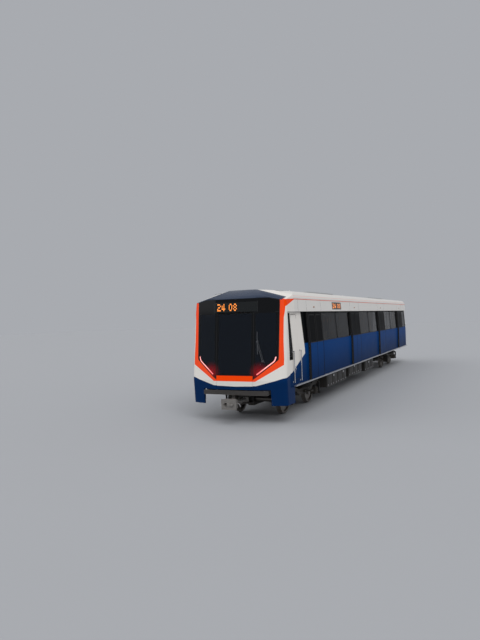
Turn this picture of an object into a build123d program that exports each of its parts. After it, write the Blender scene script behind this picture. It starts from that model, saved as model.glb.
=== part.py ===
# Metro cab car, full size, in millimetres.
# X runs across the car, +Y towards the rear end, +Z up. The nose faces -Y.
# z = 0 is the tip of the wheel flanges; heights in the tables are above the rail.
from math import cos, pi, radians, sin, sqrt, tan
import os

from build123d import *

os.makedirs("parts", exist_ok=True)

# Overall lengths
BODY_LENGTH = 21300.0       # nose plane to the rear end wall
COUPLER_REACH = 450.0       # coupler face ahead of the nose plane
REAR_REACH = 250.0          # gangway and drawbar behind the end wall
FLANGE = 28.0               # wheel flange below the rail top

OVERALL = COUPLER_REACH + BODY_LENGTH + REAR_REACH
NOSE_Y = COUPLER_REACH - OVERALL / 2


def up(height):
    """z of a height above the rail top."""
    return FLANGE + height


def behind(distance):
    """y of a distance behind the nose plane."""
    return NOSE_Y + distance


# Cross-section of the body: upright to the waist, then leaning in
OUTER_HALF = 1560.0         # outer plane of door leaves and cantrail at the waist
INSIDE = OUTER_HALF - 310.0     # cutting blocks for the side reach from here
BEYOND = OUTER_HALF + 90.0      # to here
REACH = OUTER_HALF + 140.0      # half width of blocks that span the whole car
LEAN = tan(radians(4.0))
SILL_Z = up(960.0)
FLOOR_Z = up(1130.0)
WAIST_Z = up(2000.0)
WINDOW_LOW = up(2150.0)
SOFFIT_Z = up(3130.0)       # lower edge of the cantrail
WINDOW_TOP = SOFFIT_Z - 50.0
CANTRAIL_TOP = up(3540.0)
SHOULDER_X = OUTER_HALF - 380.0
SHOULDER_Z = up(3745.0)
CROWN_Z = up(3825.0)
CEILING_Z = up(3260.0)
WALL_DEPTH = 75.0           # body wall behind the outer plane
WALL = 60.0
ROOF_SKIN = 45.0
FASCIA = 30.0
CEILING = 25.0
SHEET = 12.0                # glass

# Cab front: flat centre, two angled facets, rounded corners, raked back
CENTRE_HALF = 650.0
FACET_SLOPE = tan(radians(15.0))
RAKE = tan(radians(6.2))
FRONT_Z = up(1200.0)        # most forward height
CHIN_Z = up(330.0)
CHIN_BACK = 70.0
CORNER_LOW = OUTER_HALF - 55.0
CORNER_RADIUS = 140.0
CORNER_END = 550.0          # cab corner ends here and the side wall begins
SHELL = 60.0
CAB_ROOF_END = 1150.0       # seam between cab roof and car roof
DOME_START_Z = up(3560.0)
DOME_END = 800.0
DOME_HALF = 1375.0
DOME_EDGE = 18.0
LOFT_TOP = up(3900.0)
BEVEL_AT = (1050.0, 1000.0, up(3700.0))     # a point of the sloping corner of the cab roof
BEVEL_RISE = 0.22           # its slope upwards to the rear
BEVEL_FALL = 0.28           # its slope downwards to the side

# Doors and bays
FIRST_DOOR = 2990.0         # middle of the first doorway, behind the nose
LAST_DOOR = 2260.0          # middle of the last one, ahead of the rear end
DOOR_PITCH = (BODY_LENGTH - FIRST_DOOR - LAST_DOOR) / 3
DOOR_CENTRES = [FIRST_DOOR + number * DOOR_PITCH for number in range(4)]
LEAF_WIDTH = 700.0
LEAF_GAP = 6.0
LEAF_THICK = 45.0
LEAF_LOW = up(1008.0)
LEAF_TOP = SOFFIT_Z - 8.0
LEAF_TRAVEL = 650.0
LEAF_FRAME = 70.0
DOORWAY = 1300.0
DOORWAY_TOP = SOFFIT_Z - 40.0
SILL_TOP = up(1000.0)
LEDGE_LOW = SOFFIT_Z + 30.0
LEDGE_TOP = LEDGE_LOW + 15.0
LEDGE_WIDTH = 22.0
POCKET_TOP = SOFFIT_Z + 106.0
ROLLER_R = 22.0
ROLLER_LIFT = 0.3
HANGER = 9.0
BULKHEAD = 1950.0
BULKHEAD_THICK = 50.0

# Running gear
BOGIE_FRONT = 3000.0
BOGIE_REAR = 3200.0         # middle of the second bogie, ahead of the rear end
BOGIE_PITCH = BODY_LENGTH - BOGIE_FRONT - BOGIE_REAR
WHEELBASE = 2300.0
WHEEL_R = 425.0
BACK_TO_BACK = 680.0        # half the distance between the wheels' inner faces
TREAD = 135.0
FLANGE_WIDTH = 32.0
AXLE_R = 85.0
JOURNAL_R = 60.0
JOURNAL_END = 1065.0
AXLE_Z = up(WHEEL_R)
AXLEBOX_X = 1000.0
BEAM_HALF = 80.0
UNDER_Z = up(930.0)         # lowest face of the sole bars
BOLSTER_GAP = 5.0


def save(name, shape):
    export_step(shape, "parts/" + name + ".step")


def bar(x0, x1, y0, y1, z0, z1):
    """A box from its lowest to its highest corner."""
    place = Pos((x0 + x1) / 2, (y0 + y1) / 2, (z0 + z1) / 2)
    return place * Box(abs(x1 - x0), abs(y1 - y0), abs(z1 - z0))


def span_x(x0, x1, y0, y1, z0, z1):
    """A box whose two x values may come in either order."""
    return bar(min(x0, x1), max(x0, x1), y0, y1, z0, z1)


def span_y(x0, x1, y0, y1, z0, z1):
    """A box whose x and y values may come in either order."""
    return span_x(x0, x1, min(y0, y1), max(y0, y1), z0, z1)


def mirrored(shape):
    return mirror(shape, about=Plane.YZ)


def pair(shape):
    """The piece and its mirror image on the other side."""
    return Compound(children=shape.solids() + mirrored(shape).solids())


def group(pieces):
    solids = []
    for piece in pieces:
        solids += piece.solids()
    return Compound(children=solids)


def along_y(points, y0, y1):
    """A closed outline in x and z, carried along y."""
    face = Face(Wire.make_polygon([(x, y0, z) for x, z in points]))
    return extrude(face, amount=y1 - y0, dir=(0, 1, 0))


def along_x(points, x0, x1):
    """A closed outline in y and z, carried along x."""
    face = Face(Wire.make_polygon([(x0, y, z) for y, z in points]))
    return extrude(face, amount=x1 - x0, dir=(1, 0, 0))


def rod(x, y, z, radius, length, axis):
    """A round bar centred on a point along one of the axes."""
    turn = {"x": Rot(0, 90, 0), "y": Rot(90, 0, 0), "z": Rot(0, 0, 0)}[axis]
    return Pos(x, y, z) * turn * Cylinder(radius, length)


def side_x(z, depth=0.0):
    """Half width of the body side at a height, some way behind the outer plane."""
    return OUTER_HALF - depth - max(0.0, z - WAIST_Z) * LEAN


def side_strip(depth_out, depth_in, z0, z1, y0, y1):
    """A strip of the side between two depths and two heights, bent at the waist."""
    heights = [z0] + ([WAIST_Z] if z0 < WAIST_Z < z1 else []) + [z1]
    outline = [(side_x(z, depth_out), z) for z in heights]
    outline += [(side_x(z, depth_in), z) for z in reversed(heights)]
    return along_y(outline, y0, y1)


def round_window(y0, y1, z0, z1, radius=60.0, shrink=0.0):
    """A tool with rounded corners that cuts through the side on +X."""
    block = bar(INSIDE, BEYOND, y0 + shrink, y1 - shrink, z0 + shrink, z1 - shrink)
    return fillet(block.edges().filter_by(Axis.X), radius - shrink)


def roof_outline(inset, base_z, widen):
    """The roof above a height: cantrail side, shoulder arc and crown arc, as a wire's edges."""
    edge = (side_x(CANTRAIL_TOP, inset) + widen, CANTRAIL_TOP)
    shoulder = (SHOULDER_X - inset * 0.3, SHOULDER_Z - inset)
    middle = ((edge[0] + shoulder[0]) / 2 + 46.0, (edge[1] + shoulder[1]) / 2 + 42.0)
    crown = (0.0, CROWN_Z - inset)
    base = (side_x(base_z, inset) + widen, base_z)
    return base, edge, middle, shoulder, crown


def roof_solid(inset, base_z, y0, y1, widen=0.0):
    """A bar of the roof's section above a height, shrunk by an inset."""
    base, edge, middle, shoulder, crown = roof_outline(inset, base_z, widen)

    def at(point, side=1.0):
        return (side * point[0], y0, point[1])

    edges = [
        Edge.make_line(at(base), at(edge)),
        Edge.make_three_point_arc(at(edge), at(middle), at(shoulder)),
        Edge.make_three_point_arc(at(shoulder), at(crown), at(shoulder, -1.0)),
        Edge.make_three_point_arc(at(shoulder, -1.0), at(middle, -1.0), at(edge, -1.0)),
        Edge.make_line(at(edge, -1.0), at(base, -1.0)),
        Edge.make_line(at(base, -1.0), at(base)),
    ]
    return extrude(Face(Wire(edges)), amount=y1 - y0, dir=(0, 1, 0))


def bevels(inset):
    """Everything above two planes that fall to the nose and to either side of the cab roof."""
    x, distance, z = BEVEL_AT
    plane = Plane(origin=(x, behind(distance), z - inset * 1.06), x_dir=(1, 0, -BEVEL_FALL),
                  z_dir=(BEVEL_FALL, -BEVEL_RISE, 1))
    block = plane * Pos(0, 0, 1000) * Box(6000, 6000, 2000)
    side = block & bar(0, 2 * REACH, behind(-300.0), behind(2 * BULKHEAD), up(3000.0), up(6000.0))
    return side + mirrored(side)


# Cab shell: one raked loft, cut by the roof's section, the dome's curve and the bevels
def front_back(z):
    """How far the centre of the front lies behind the nose plane."""
    if z < FRONT_Z:
        return (FRONT_Z - z) / (FRONT_Z - CHIN_Z) * CHIN_BACK
    return (z - FRONT_Z) * RAKE


def corner_half(z):
    """Half width of the cab at its corners."""
    top = side_x(CANTRAIL_TOP)
    soffit = side_x(SOFFIT_Z)
    if z <= WAIST_Z:
        return CORNER_LOW
    if z <= SOFFIT_Z:
        return CORNER_LOW + (soffit - CORNER_LOW) * (z - WAIST_Z) / (SOFFIT_Z - WAIST_Z)
    return soffit + (top - soffit) * (z - SOFFIT_Z) / (CANTRAIL_TOP - SOFFIT_Z)


def cab_section(z, inset):
    """Plan of the cab at a height: flat, facet, corner arc and side, mirrored."""
    start = front_back(z) + inset
    stretch = sqrt(1 + FACET_SLOPE ** 2)
    half = corner_half(z) - inset
    turn = pi / 2 - radians(15.0)
    tangent = (CORNER_RADIUS - inset) * tan(turn / 2)
    flat = CENTRE_HALF + inset * (1 - stretch) / FACET_SLOPE
    corner_y = front_back(z) + inset * stretch + (half - CENTRE_HALF) * FACET_SLOPE
    one = (half - tangent / stretch, corner_y - tangent * FACET_SLOPE / stretch)
    two = (half, corner_y + tangent)
    centre = (half - (CORNER_RADIUS - inset), two[1])
    mid_angle = -turn / 2
    reach = CORNER_RADIUS - inset
    middle = (centre[0] + reach * cos(mid_angle), centre[1] + reach * sin(mid_angle))
    back = (half, BULKHEAD)

    def at(point, side=1.0):
        return (side * point[0], behind(point[1]), z)

    front = (flat, start)
    edges = [
        Edge.make_line(at(front, -1.0), at(front)),
        Edge.make_line(at(front), at(one)),
        Edge.make_three_point_arc(at(one), at(middle), at(two)),
        Edge.make_line(at(two), at(back)),
        Edge.make_line(at(back), at(back, -1.0)),
        Edge.make_line(at(back, -1.0), at(two, -1.0)),
        Edge.make_three_point_arc(at(two, -1.0), at(middle, -1.0), at(one, -1.0)),
        Edge.make_line(at(one, -1.0), at(front, -1.0)),
    ]
    return Wire(edges)


def dome_tool(inset):
    """Everything below the curve of the dome, carried across the car."""
    start = (behind(front_back(DOME_START_Z) + inset * 0.5), DOME_START_Z - inset * 0.5)
    middle = (behind(430.0 + inset * 0.5), up(3705.0) - inset * 0.85)
    end = (behind(DOME_END + 50.0), CROWN_Z - inset)
    far = behind(BULKHEAD)

    def at(point):
        return (-REACH, point[0], point[1])

    ahead = behind(-300.0)
    low = up(200.0)
    edges = [
        Edge.make_line(at((ahead, low)), at((ahead, start[1]))),
        Edge.make_line(at((ahead, start[1])), at(start)),
        Edge.make_three_point_arc(at(start), at(middle), at(end)),
        Edge.make_line(at(end), at((far, end[1] + 1.0))),
        Edge.make_line(at((far, end[1] + 1.0)), at((far, low))),
        Edge.make_line(at((far, low)), at((ahead, low))),
    ]
    return extrude(Face(Wire(edges)), amount=2 * REACH, dir=(1, 0, 0))


TOOL_WIDER = 3.0


def section_tool(inset):
    """Below the roof's curve: a wide block up to the cantrail and the roof above it."""
    y0, y1 = behind(-300.0), behind(BULKHEAD)
    block = bar(-REACH, REACH, y0, y1, up(200.0), CANTRAIL_TOP - 1.0)
    return block + roof_solid(inset, CANTRAIL_TOP - 60.0, y0, y1, TOOL_WIDER)


def cab_solid(inset, bottom=CHIN_Z):
    heights = [bottom, FRONT_Z, WAIST_Z, SOFFIT_Z, LOFT_TOP]
    shape = Solid.make_loft([cab_section(z, inset) for z in heights], ruled=True)
    return (Part() + shape & section_tool(inset) & dome_tool(inset)) - bevels(inset)


OUTER_CAB = cab_solid(0.0)
GLASS_CAB = cab_solid(SHEET, up(300.0))
INNER_CAB = cab_solid(SHELL, up(290.0))
GLASS_LAYER = OUTER_CAB - GLASS_CAB
FRAME_LAYER = GLASS_CAB - INNER_CAB
SHELL_LAYER = OUTER_CAB - INNER_CAB


# Outlines on the front, as x and height for the +X side
MASK = [(580.0, 1345.0), (650.0, 1275.0), (1281.0, 1775.0), (1300.0, 1850.0),
        (1318.0, 3430.0), (1300.0, 3545.0)]
SURROUND = [(656.0, 1186.0), (1438.0, 1644.0), (1442.0, 1800.0), (1422.0, 2350.0),
            (1422.0, 3700.0)]
LAMP = [(1244.0, 1872.0), (1206.0, 1742.0), (706.0, 1358.0),
        (674.0, 1398.0), (1162.0, 1768.0), (1200.0, 1884.0)]
CORNER_RIM = 15.0
APRON_TOP = up(1010.0)
APRON_LOW = up(945.0)
LEG_LOW = up(500.0)
LEG_X = 1070.0
APRON_END = 900.0
ESCAPE_HALF = 575.0
ESCAPE_GAP = 6.0
ESCAPE_TOP = up(3135.0)
ESCAPE_HEAD = 16.0
ESCAPE_HINGE = (behind(front_back(APRON_TOP)), APRON_TOP - 4.0)
PANE_EDGE = 55.0


def front_prism(points, depth=CORNER_END, top=None):
    """An outline on the front and its mirror image joined, carried back from the nose."""
    outline = [(x, up(z)) for x, z in points]
    if top is not None:
        outline[-1] = (outline[-1][0], top)
    whole = outline + [(-x, z) for x, z in reversed(outline)]
    return along_y(whole, behind(-300.0), behind(depth - CORNER_RIM))


def front_patch(points):
    """An outline on the +X side of the front, carried back from the nose."""
    return along_y([(x, up(z)) for x, z in points], behind(-300.0), behind(CORNER_END))


def front_bar(half, z0, z1, depth=CORNER_END):
    return bar(-half, half, behind(-300.0), behind(depth), z0, z1)


DOME_BAR = bar(-DOME_HALF, DOME_HALF, behind(-300.0), behind(DOME_END - CORNER_RIM),
               up(3200.0), LOFT_TOP)
DOME_TOOL = DOME_BAR & (bevels(DOME_EDGE) + front_bar(DOME_HALF, up(MASK[-1][1]), LOFT_TOP, DOME_END))
MASK_TOOL = front_prism(MASK) - DOME_TOOL
SURROUND_TOOL = front_prism(SURROUND)
ESCAPE_TOOL = front_bar(ESCAPE_HALF, APRON_TOP, ESCAPE_TOP)
ESCAPE_HOLE = front_bar(ESCAPE_HALF + ESCAPE_GAP, APRON_TOP - ESCAPE_GAP,
                        ESCAPE_TOP + ESCAPE_HEAD)
CORNER_BACK = bar(-REACH, REACH, behind(CORNER_END), behind(BULKHEAD + 10.0),
                  up(200.0), SOFFIT_Z)
ROOF_BACK = bar(-REACH, REACH, behind(CAB_ROOF_END), behind(BULKHEAD + 10.0),
                up(200.0), up(4000.0))


def knuckles(middle, barrel, radius, pin_r):
    """Hinge along x about the origin: fixed knuckles with their pin, and the moving barrel."""
    step = barrel + 2 * KNUCKLE_GAP
    fixed = rod(middle, 0, 0, pin_r, step + 20, "x")
    for side in (-1, 1):
        fixed += rod(middle + side * (step / 2 + KNUCKLE / 2), 0, 0, radius, KNUCKLE, "x")
    moving = rod(middle, 0, 0, radius, barrel, "x")
    bore = rod(middle, 0, 0, pin_r + PIN_FIT, step, "x")
    room_moving = rod(middle, 0, 0, radius + HINGE_ROOM, step, "x")
    room_fixed = rod(middle, 0, 0, radius + HINGE_ROOM, step + 2 * KNUCKLE + 2 * HINGE_ROOM, "x")
    return fixed, moving, bore, room_moving, room_fixed - room_moving


KNUCKLE = 30.0
KNUCKLE_GAP = 0.5
PIN_FIT = 0.1
HINGE_ROOM = 5.0
ESCAPE_KNUCKLES = (-400.0, 400.0)


def fit_hinge(still, moving, hinge, place):
    """Both pieces with their shares of a hinge and the room each leaves for the other."""
    fixed, barrel, bore, room_moving, room_fixed = [place * piece for piece in hinge]
    return still - room_moving + fixed, moving - room_fixed + barrel - bore


def build_cab_front():
    """White shell, orange surround, dome, glass, escape door, lamps and display."""
    body = SHELL_LAYER - bar(-REACH, REACH, behind(-300), behind(BULKHEAD), up(200), APRON_TOP)
    body = body - CORNER_BACK - ROOF_BACK - ESCAPE_HOLE
    dome = body & DOME_TOOL
    body = body - DOME_TOOL
    surround = (body & SURROUND_TOOL) - MASK_TOOL
    shell = body - SURROUND_TOOL
    save("cab_shell", shell)

    # Mask: a frame behind the glass with one opening a side, and the panes on it
    window = [(740.0, 1490.0), (1145.0, 1800.0), (1180.0, 1905.0), (1230.0, 1985.0),
              (1230.0, 3110.0), (650.0, 3110.0), (650.0, 1490.0)]
    cut = front_patch(window)
    frame = (FRAME_LAYER & MASK_TOOL) - ESCAPE_HOLE - cut - mirrored(cut)
    save("cab_mask_frame", surround + frame)
    save("cab_dome", dome)

    strip = front_patch(LAMP)
    strips = strip + mirrored(strip)
    display = front_bar(DISPLAY_HALF, DISPLAY_LOW, DISPLAY_TOP)
    glass = (GLASS_LAYER & MASK_TOOL) - ESCAPE_HOLE
    lamps = (glass & strips) + (glass & display)
    save("windscreens", group([glass - strips - display]))

    # Escape door: glass on the outside above the bands, a frame behind it
    glazed_z = up(MASK[0][1])
    upper = front_bar(ESCAPE_HALF, glazed_z, ESCAPE_TOP)
    hole = front_bar(ESCAPE_HALF - PANE_EDGE, glazed_z + PANE_EDGE, ESCAPE_TOP - PANE_EDGE)
    door = (SHELL_LAYER & ESCAPE_TOOL) - (GLASS_LAYER & upper) - hole
    apron = apron_body()
    for x in ESCAPE_KNUCKLES:
        apron, door = fit_hinge(apron, door, knuckles(x, 60.0, 10.0, 5.0),
                                Pos(0, *ESCAPE_HINGE))
    save("escape_door", door)
    save("apron", apron)
    save("escape_door_glass", GLASS_LAYER & upper)
    return lamps


DISPLAY_HALF = 700.0
DISPLAY_LOW = up(3165.0)
DISPLAY_TOP = up(3450.0)
SIDE_DISPLAY = 5695.0
SIDE_DISPLAY_HALF = 600.0
SIDE_DISPLAY_LOW = up(3190.0)
SIDE_DISPLAY_TOP = up(3450.0)


def side_display(depth):
    y0, y1 = behind(SIDE_DISPLAY - SIDE_DISPLAY_HALF), behind(SIDE_DISPLAY + SIDE_DISPLAY_HALF)
    return side_strip(0.0, depth, SIDE_DISPLAY_LOW, SIDE_DISPLAY_TOP, y0, y1)


def apron_body():
    body = SHELL_LAYER & bar(-REACH, REACH, behind(-300), behind(APRON_END), LEG_LOW, APRON_TOP)
    body -= ESCAPE_HOLE
    body -= bar(-LEG_X, LEG_X, behind(-300), behind(APRON_END), LEG_LOW, APRON_LOW)
    behind_corner = bar(-REACH, REACH, behind(CORNER_END), behind(APRON_END),
                        SILL_Z, APRON_TOP)
    return body - behind_corner


ANTI_LOW = up(798.0)
ANTI_TOP = up(915.0)
ANTI_HALF = 1003.0
ANTI_FRONT = 0.0
ANTI_BACK = 130.0
ANTI_RIBS = 4


def build_anti_climber():
    """A bar across the nose with proud ribs along it."""
    body = bar(-ANTI_HALF, ANTI_HALF, behind(ANTI_FRONT + 30), behind(ANTI_BACK),
               ANTI_LOW, ANTI_TOP)
    step = (ANTI_TOP - ANTI_LOW) / (2 * ANTI_RIBS - 1)
    for rib in range(ANTI_RIBS):
        z = ANTI_LOW + 2 * rib * step
        body += bar(-ANTI_HALF, ANTI_HALF, behind(ANTI_FRONT), behind(ANTI_FRONT + 31),
                    z, z + step)
    save("anti_climber", body)


# Side walls
WALL_IN = WALL_DEPTH + WALL
REAR_WALL = 60.0
WALL_END = BODY_LENGTH - REAR_WALL
CAB_DOOR = (905.0, 1405.0)          # opening, behind the nose
CAB_DOOR_TOP = SOFFIT_Z - 70.0
CAB_DOOR_GAP = 6.0
CAB_DOOR_FRONT_GAP = 18.0
CAB_HINGE_X = side_x(CAB_DOOR_TOP - CAB_DOOR_GAP, WALL_IN)
CAB_HINGE_Y = behind(CAB_DOOR[1] - CAB_DOOR_GAP)
CAB_HINGES = (up(1350.0), up(2100.0), up(2750.0))
QUARTER = (590.0, 800.0)
QUARTER_LOW = up(1850.0)
PILLAR = 60.0
BAY_MARGIN = 60.0


def bays():
    """Start and end of each pane along the side, behind the nose."""
    half = LEAF_WIDTH
    spans = []
    for first, second in zip(DOOR_CENTRES, DOOR_CENTRES[1:]):
        start, end = first + half + BAY_MARGIN, second - half - BAY_MARGIN
        middle = (start + end) / 2
        spans += [(start, middle - PILLAR / 2), (middle + PILLAR / 2, end)]
    spans.append((DOOR_CENTRES[-1] + half + BAY_MARGIN, WALL_END - 250.0))
    return spans


def side_windows():
    tools = [round_window(behind(a), behind(b), WINDOW_LOW, WINDOW_TOP) for a, b in bays()]
    tools.append(round_window(behind(QUARTER[0]), behind(QUARTER[1]), QUARTER_LOW,
                              WINDOW_TOP, 40.0))
    return tools


def add_cab_hinge(wall, door, z):
    """Upright hinge inside the cab, with an arm to the door and one to the wall behind it."""
    place = Pos(CAB_HINGE_X, CAB_HINGE_Y, z) * Rot(0, 90, 0)
    fixed, barrel, bore = [place * piece for piece in knuckles(0, 60.0, 10.0, 5.0)[:3]]
    face = side_x(z + 50, WALL_IN) + 6
    arm = bar(CAB_HINGE_X, face, CAB_HINGE_Y - 60, CAB_HINGE_Y - 6, z - 29, z + 29)
    arm += bar(CAB_HINGE_X - 4, CAB_HINGE_X + 4, CAB_HINGE_Y - 60, CAB_HINGE_Y, z - 29, z + 29)
    for side in (-1, 1):
        middle = z + side * (30.0 + KNUCKLE_GAP + KNUCKLE / 2)
        fixed_arm = bar(CAB_HINGE_X - 4, face, CAB_HINGE_Y + 6, CAB_HINGE_Y + 40,
                        middle - 14, middle + 14)
        wall += fixed_arm
    return wall + fixed, door + arm + barrel - bore


def wall_part(z0, z1, start, end):
    return side_strip(WALL_DEPTH, WALL_IN, z0, z1, behind(start), behind(end))


def wall_parts():
    """Skirt, panels below and above the waist between the ways in, and a head over each way."""
    ways = [(*CAB_DOOR, CAB_DOOR_TOP)]
    ways += [(c - DOORWAY / 2, c + DOORWAY / 2, DOORWAY_TOP) for c in DOOR_CENTRES]
    starts = [CORNER_END] + [way[1] for way in ways]
    ends = [way[0] for way in ways] + [WALL_END]
    parts = {(CORNER_END, SILL_Z): wall_part(SILL_Z, FLOOR_Z, CORNER_END, WALL_END)}
    for start, end in zip(starts, ends):
        for low, high in ((FLOOR_Z, WAIST_Z), (WAIST_Z, SOFFIT_Z)):
            panel = wall_part(low, high, start, end)
            for tool in side_windows():
                panel -= tool
            parts[start, low] = panel
    for start, end, top in ways:
        parts[start, top] = wall_part(top, SOFFIT_Z, start, end)
    return parts


def build_side():
    """Both side walls, their panes and their sills."""
    parts = wall_parts()
    pane = side_strip(WALL_DEPTH, WALL_DEPTH + SHEET, WAIST_Z - 400, SOFFIT_Z,
                      behind(CORNER_END), behind(WALL_END))
    panes = []
    for tool in side_windows():
        panes.append(pane & tool)
    door = side_strip(WALL_DEPTH, WALL_IN, FLOOR_Z + CAB_DOOR_GAP, CAB_DOOR_TOP - CAB_DOOR_GAP,
                      behind(CAB_DOOR[0] + CAB_DOOR_FRONT_GAP), behind(CAB_DOOR[1] - CAB_DOOR_GAP))
    for z in CAB_HINGES:
        panel = (CAB_DOOR[1], WAIST_Z if z > WAIST_Z else FLOOR_Z)
        parts[panel], door = add_cab_hinge(parts[panel], door, z)
    wall = group(parts.values())
    save("cab_door_left", door)
    save("cab_door_right", mirrored(door))
    save("side_wall_left", wall)
    save("side_wall_right", mirrored(wall))
    save("side_glass", pair(group(panes)))
    sill = side_strip(10.0, WALL_DEPTH, SILL_Z, SILL_TOP, behind(APRON_END + 20), behind(WALL_END))
    save("door_sills", pair(sill))


def build_roof():
    """A hollow section of roof shell and ceiling, between cantrails with their door pockets."""
    y0, y1 = behind(CAB_ROOF_END), behind(WALL_END)
    shape = roof_solid(0.0, SOFFIT_Z, y0, y1)
    shape -= bevels(0.0)
    shape -= roof_solid(ROOF_SKIN, CEILING_Z + CEILING, y0, y1) - bevels(ROOF_SKIN)
    inside = [(side_x(z, WALL_IN), z) for z in (SOFFIT_Z - 1, CEILING_Z)]
    shape -= along_y(inside + [(-x, z) for x, z in reversed(inside)], y0, y1)
    pocket = side_strip(FASCIA, WALL_DEPTH, SOFFIT_Z - 1, POCKET_TOP, y0, y1)
    pocket -= side_strip(WALL_DEPTH - LEDGE_WIDTH, WALL_DEPTH, LEDGE_LOW, LEDGE_TOP, y0, y1)
    shape = shape - pocket - mirrored(pocket)
    panel = side_display(SHEET)
    shape = shape - panel - mirrored(panel)
    wells = []
    for start in COOLER_STARTS:
        well = bar(-COOLER_HALF, COOLER_HALF, behind(start), behind(start + COOLER_LENGTH),
                   CEILING_Z + CEILING, COOLER_TOP)
        shape -= well
        wells.append(well)
    edge = side_x(CEILING_Z, WALL_IN)
    middle = bar(-edge, edge, y0, y1, SOFFIT_Z, up(4000.0))
    save("roof", group([shape & middle, shape - middle]))
    save("air_conditioners", group(wells))


COOLER_STARTS = [4200.0, 14200.0]
COOLER_LENGTH = 3300.0
COOLER_HALF = 850.0
COOLER_TOP = up(3840.0)


def build_rear():
    """End wall over the whole section, with the gangway's opening, and the bellows half."""
    y0, y1 = behind(WALL_END), behind(BODY_LENGTH)
    lower = [(side_x(z, WALL_DEPTH), z) for z in (SILL_Z, WAIST_Z, SOFFIT_Z)]
    wall = along_y(lower + [(-x, z) for x, z in reversed(lower)], y0, y1)
    wall += roof_solid(0.0, SOFFIT_Z, y0, y1)
    wall -= bar(-GANGWAY_IN, GANGWAY_IN, y0, y1, FLOOR_Z, GANGWAY_TOP)
    save("rear_end_wall", wall)
    step = REAR_REACH / (2 * GANGWAY_FOLDS + 1)
    bellows = []
    for fold in range(2 * GANGWAY_FOLDS + 1):
        deep = GANGWAY_WALL if fold % 2 == 0 else GANGWAY_WALL - 35.0
        start = y1 + fold * step
        ring = bar(-GANGWAY_IN - deep, GANGWAY_IN + deep, start, start + step,
                   FLOOR_Z - deep, GANGWAY_TOP + deep)
        bellows.append(ring)
    shape = bellows[0]
    for ring in bellows[1:]:
        shape += ring
    save("gangway", shape - bar(-GANGWAY_IN, GANGWAY_IN, y1, y1 + REAR_REACH,
                                FLOOR_Z, GANGWAY_TOP))


GANGWAY_IN = 650.0
GANGWAY_TOP = up(3080.0)
GANGWAY_WALL = 120.0
GANGWAY_FOLDS = 3

SOLE_IN = OUTER_HALF - 260.0
SOLE_OUT = OUTER_HALF - WALL_IN
FLOOR_PLATE = 60.0
BEARER_PITCH = 1065.0
BEARER = 80.0
BEARER_DROP = 30.0
TANK_BEARERS = (12, 13)
PIVOT_R = 70.0
PIVOT_LOW = up(540.0)
COUPLER_Z = up(570.0)
COUPLER_PIVOT = 750.0
COUPLER_PIN_R = 40.0
COUPLER_EYE = 75.0
EYE_GAP = 0.5


def coupler_pocket(y):
    """Fork under the floor with the upright pin that a coupler swings on."""
    inner = COUPLER_EYE + EYE_GAP
    fork = bar(-180, 180, y - 130, y + 130, COUPLER_Z + inner, COUPLER_Z + 130)
    fork += bar(-180, 180, y - 130, y + 130, COUPLER_Z - 125, COUPLER_Z - inner)
    fork += rod(0, y, COUPLER_Z, COUPLER_PIN_R, 2 * COUPLER_EYE + 40, "z")
    return fork


def build_underframe():
    floor_low = FLOOR_Z - FLOOR_PLATE
    y0, y1 = behind(CORNER_END), behind(WALL_END)
    frame = bar(-SOLE_OUT, SOLE_OUT, y0, y1, floor_low, FLOOR_Z)
    for side in (-1, 1):
        frame += bar(min(side * SOLE_IN, side * SOLE_OUT), max(side * SOLE_IN, side * SOLE_OUT),
                     y0, y1, UNDER_Z, floor_low)
    count = int((WALL_END - CORNER_END) / BEARER_PITCH)
    for number in range(1, count):
        y = y0 + number * BEARER_PITCH
        frame += bar(-SOLE_IN, SOLE_IN, y - BEARER / 2, y + BEARER / 2,
                     UNDER_Z + BEARER_DROP, floor_low)
    for centre in (BOGIE_FRONT, BOGIE_FRONT + BOGIE_PITCH):
        y = behind(centre)
        frame += bar(-SOLE_IN, SOLE_IN, y - 350, y + 350, UNDER_Z, floor_low)
        frame += rod(0, y, (PIVOT_LOW + UNDER_Z) / 2, PIVOT_R, UNDER_Z - PIVOT_LOW, "z")
    nose = bar(-ANTI_HALF, ANTI_HALF, behind(-200), behind(CORNER_END + 350), ANTI_LOW, FLOOR_Z)
    nose += bar(-REACH, REACH, behind(-200), behind(CORNER_END), floor_low, FLOOR_Z)
    nose = nose & INNER_CAB
    nose -= bar(-ANTI_HALF, ANTI_HALF, behind(-200), behind(ANTI_BACK), ANTI_LOW, ANTI_TOP)
    nose -= bar(-ESCAPE_HALF - 20, ESCAPE_HALF + 20, behind(-200), behind(ESCAPE_SILL_BACK),
                APRON_TOP - 20, FLOOR_Z)
    frame += nose
    front_y = behind(COUPLER_PIVOT)
    frame += coupler_pocket(front_y)
    frame += bar(-180, 180, front_y + 95, front_y + 150, COUPLER_Z - 125, UNDER_Z)
    rear_y = behind(BODY_LENGTH - REAR_PIVOT)
    frame += coupler_pocket(rear_y)
    frame += bar(-180, 180, rear_y - 150, rear_y - 95, COUPLER_Z - 125, UNDER_Z + 40)
    frame += bar(-180, 180, rear_y - 130, rear_y + 130, COUPLER_Z + 130, UNDER_Z + 40)
    frame += bar(-1150, 1150, behind(WALL_END - 240), y1, up(800), floor_low)
    save("underframe", frame)


ESCAPE_SILL_BACK = 110.0
REAR_PIVOT = 420.0


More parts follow.
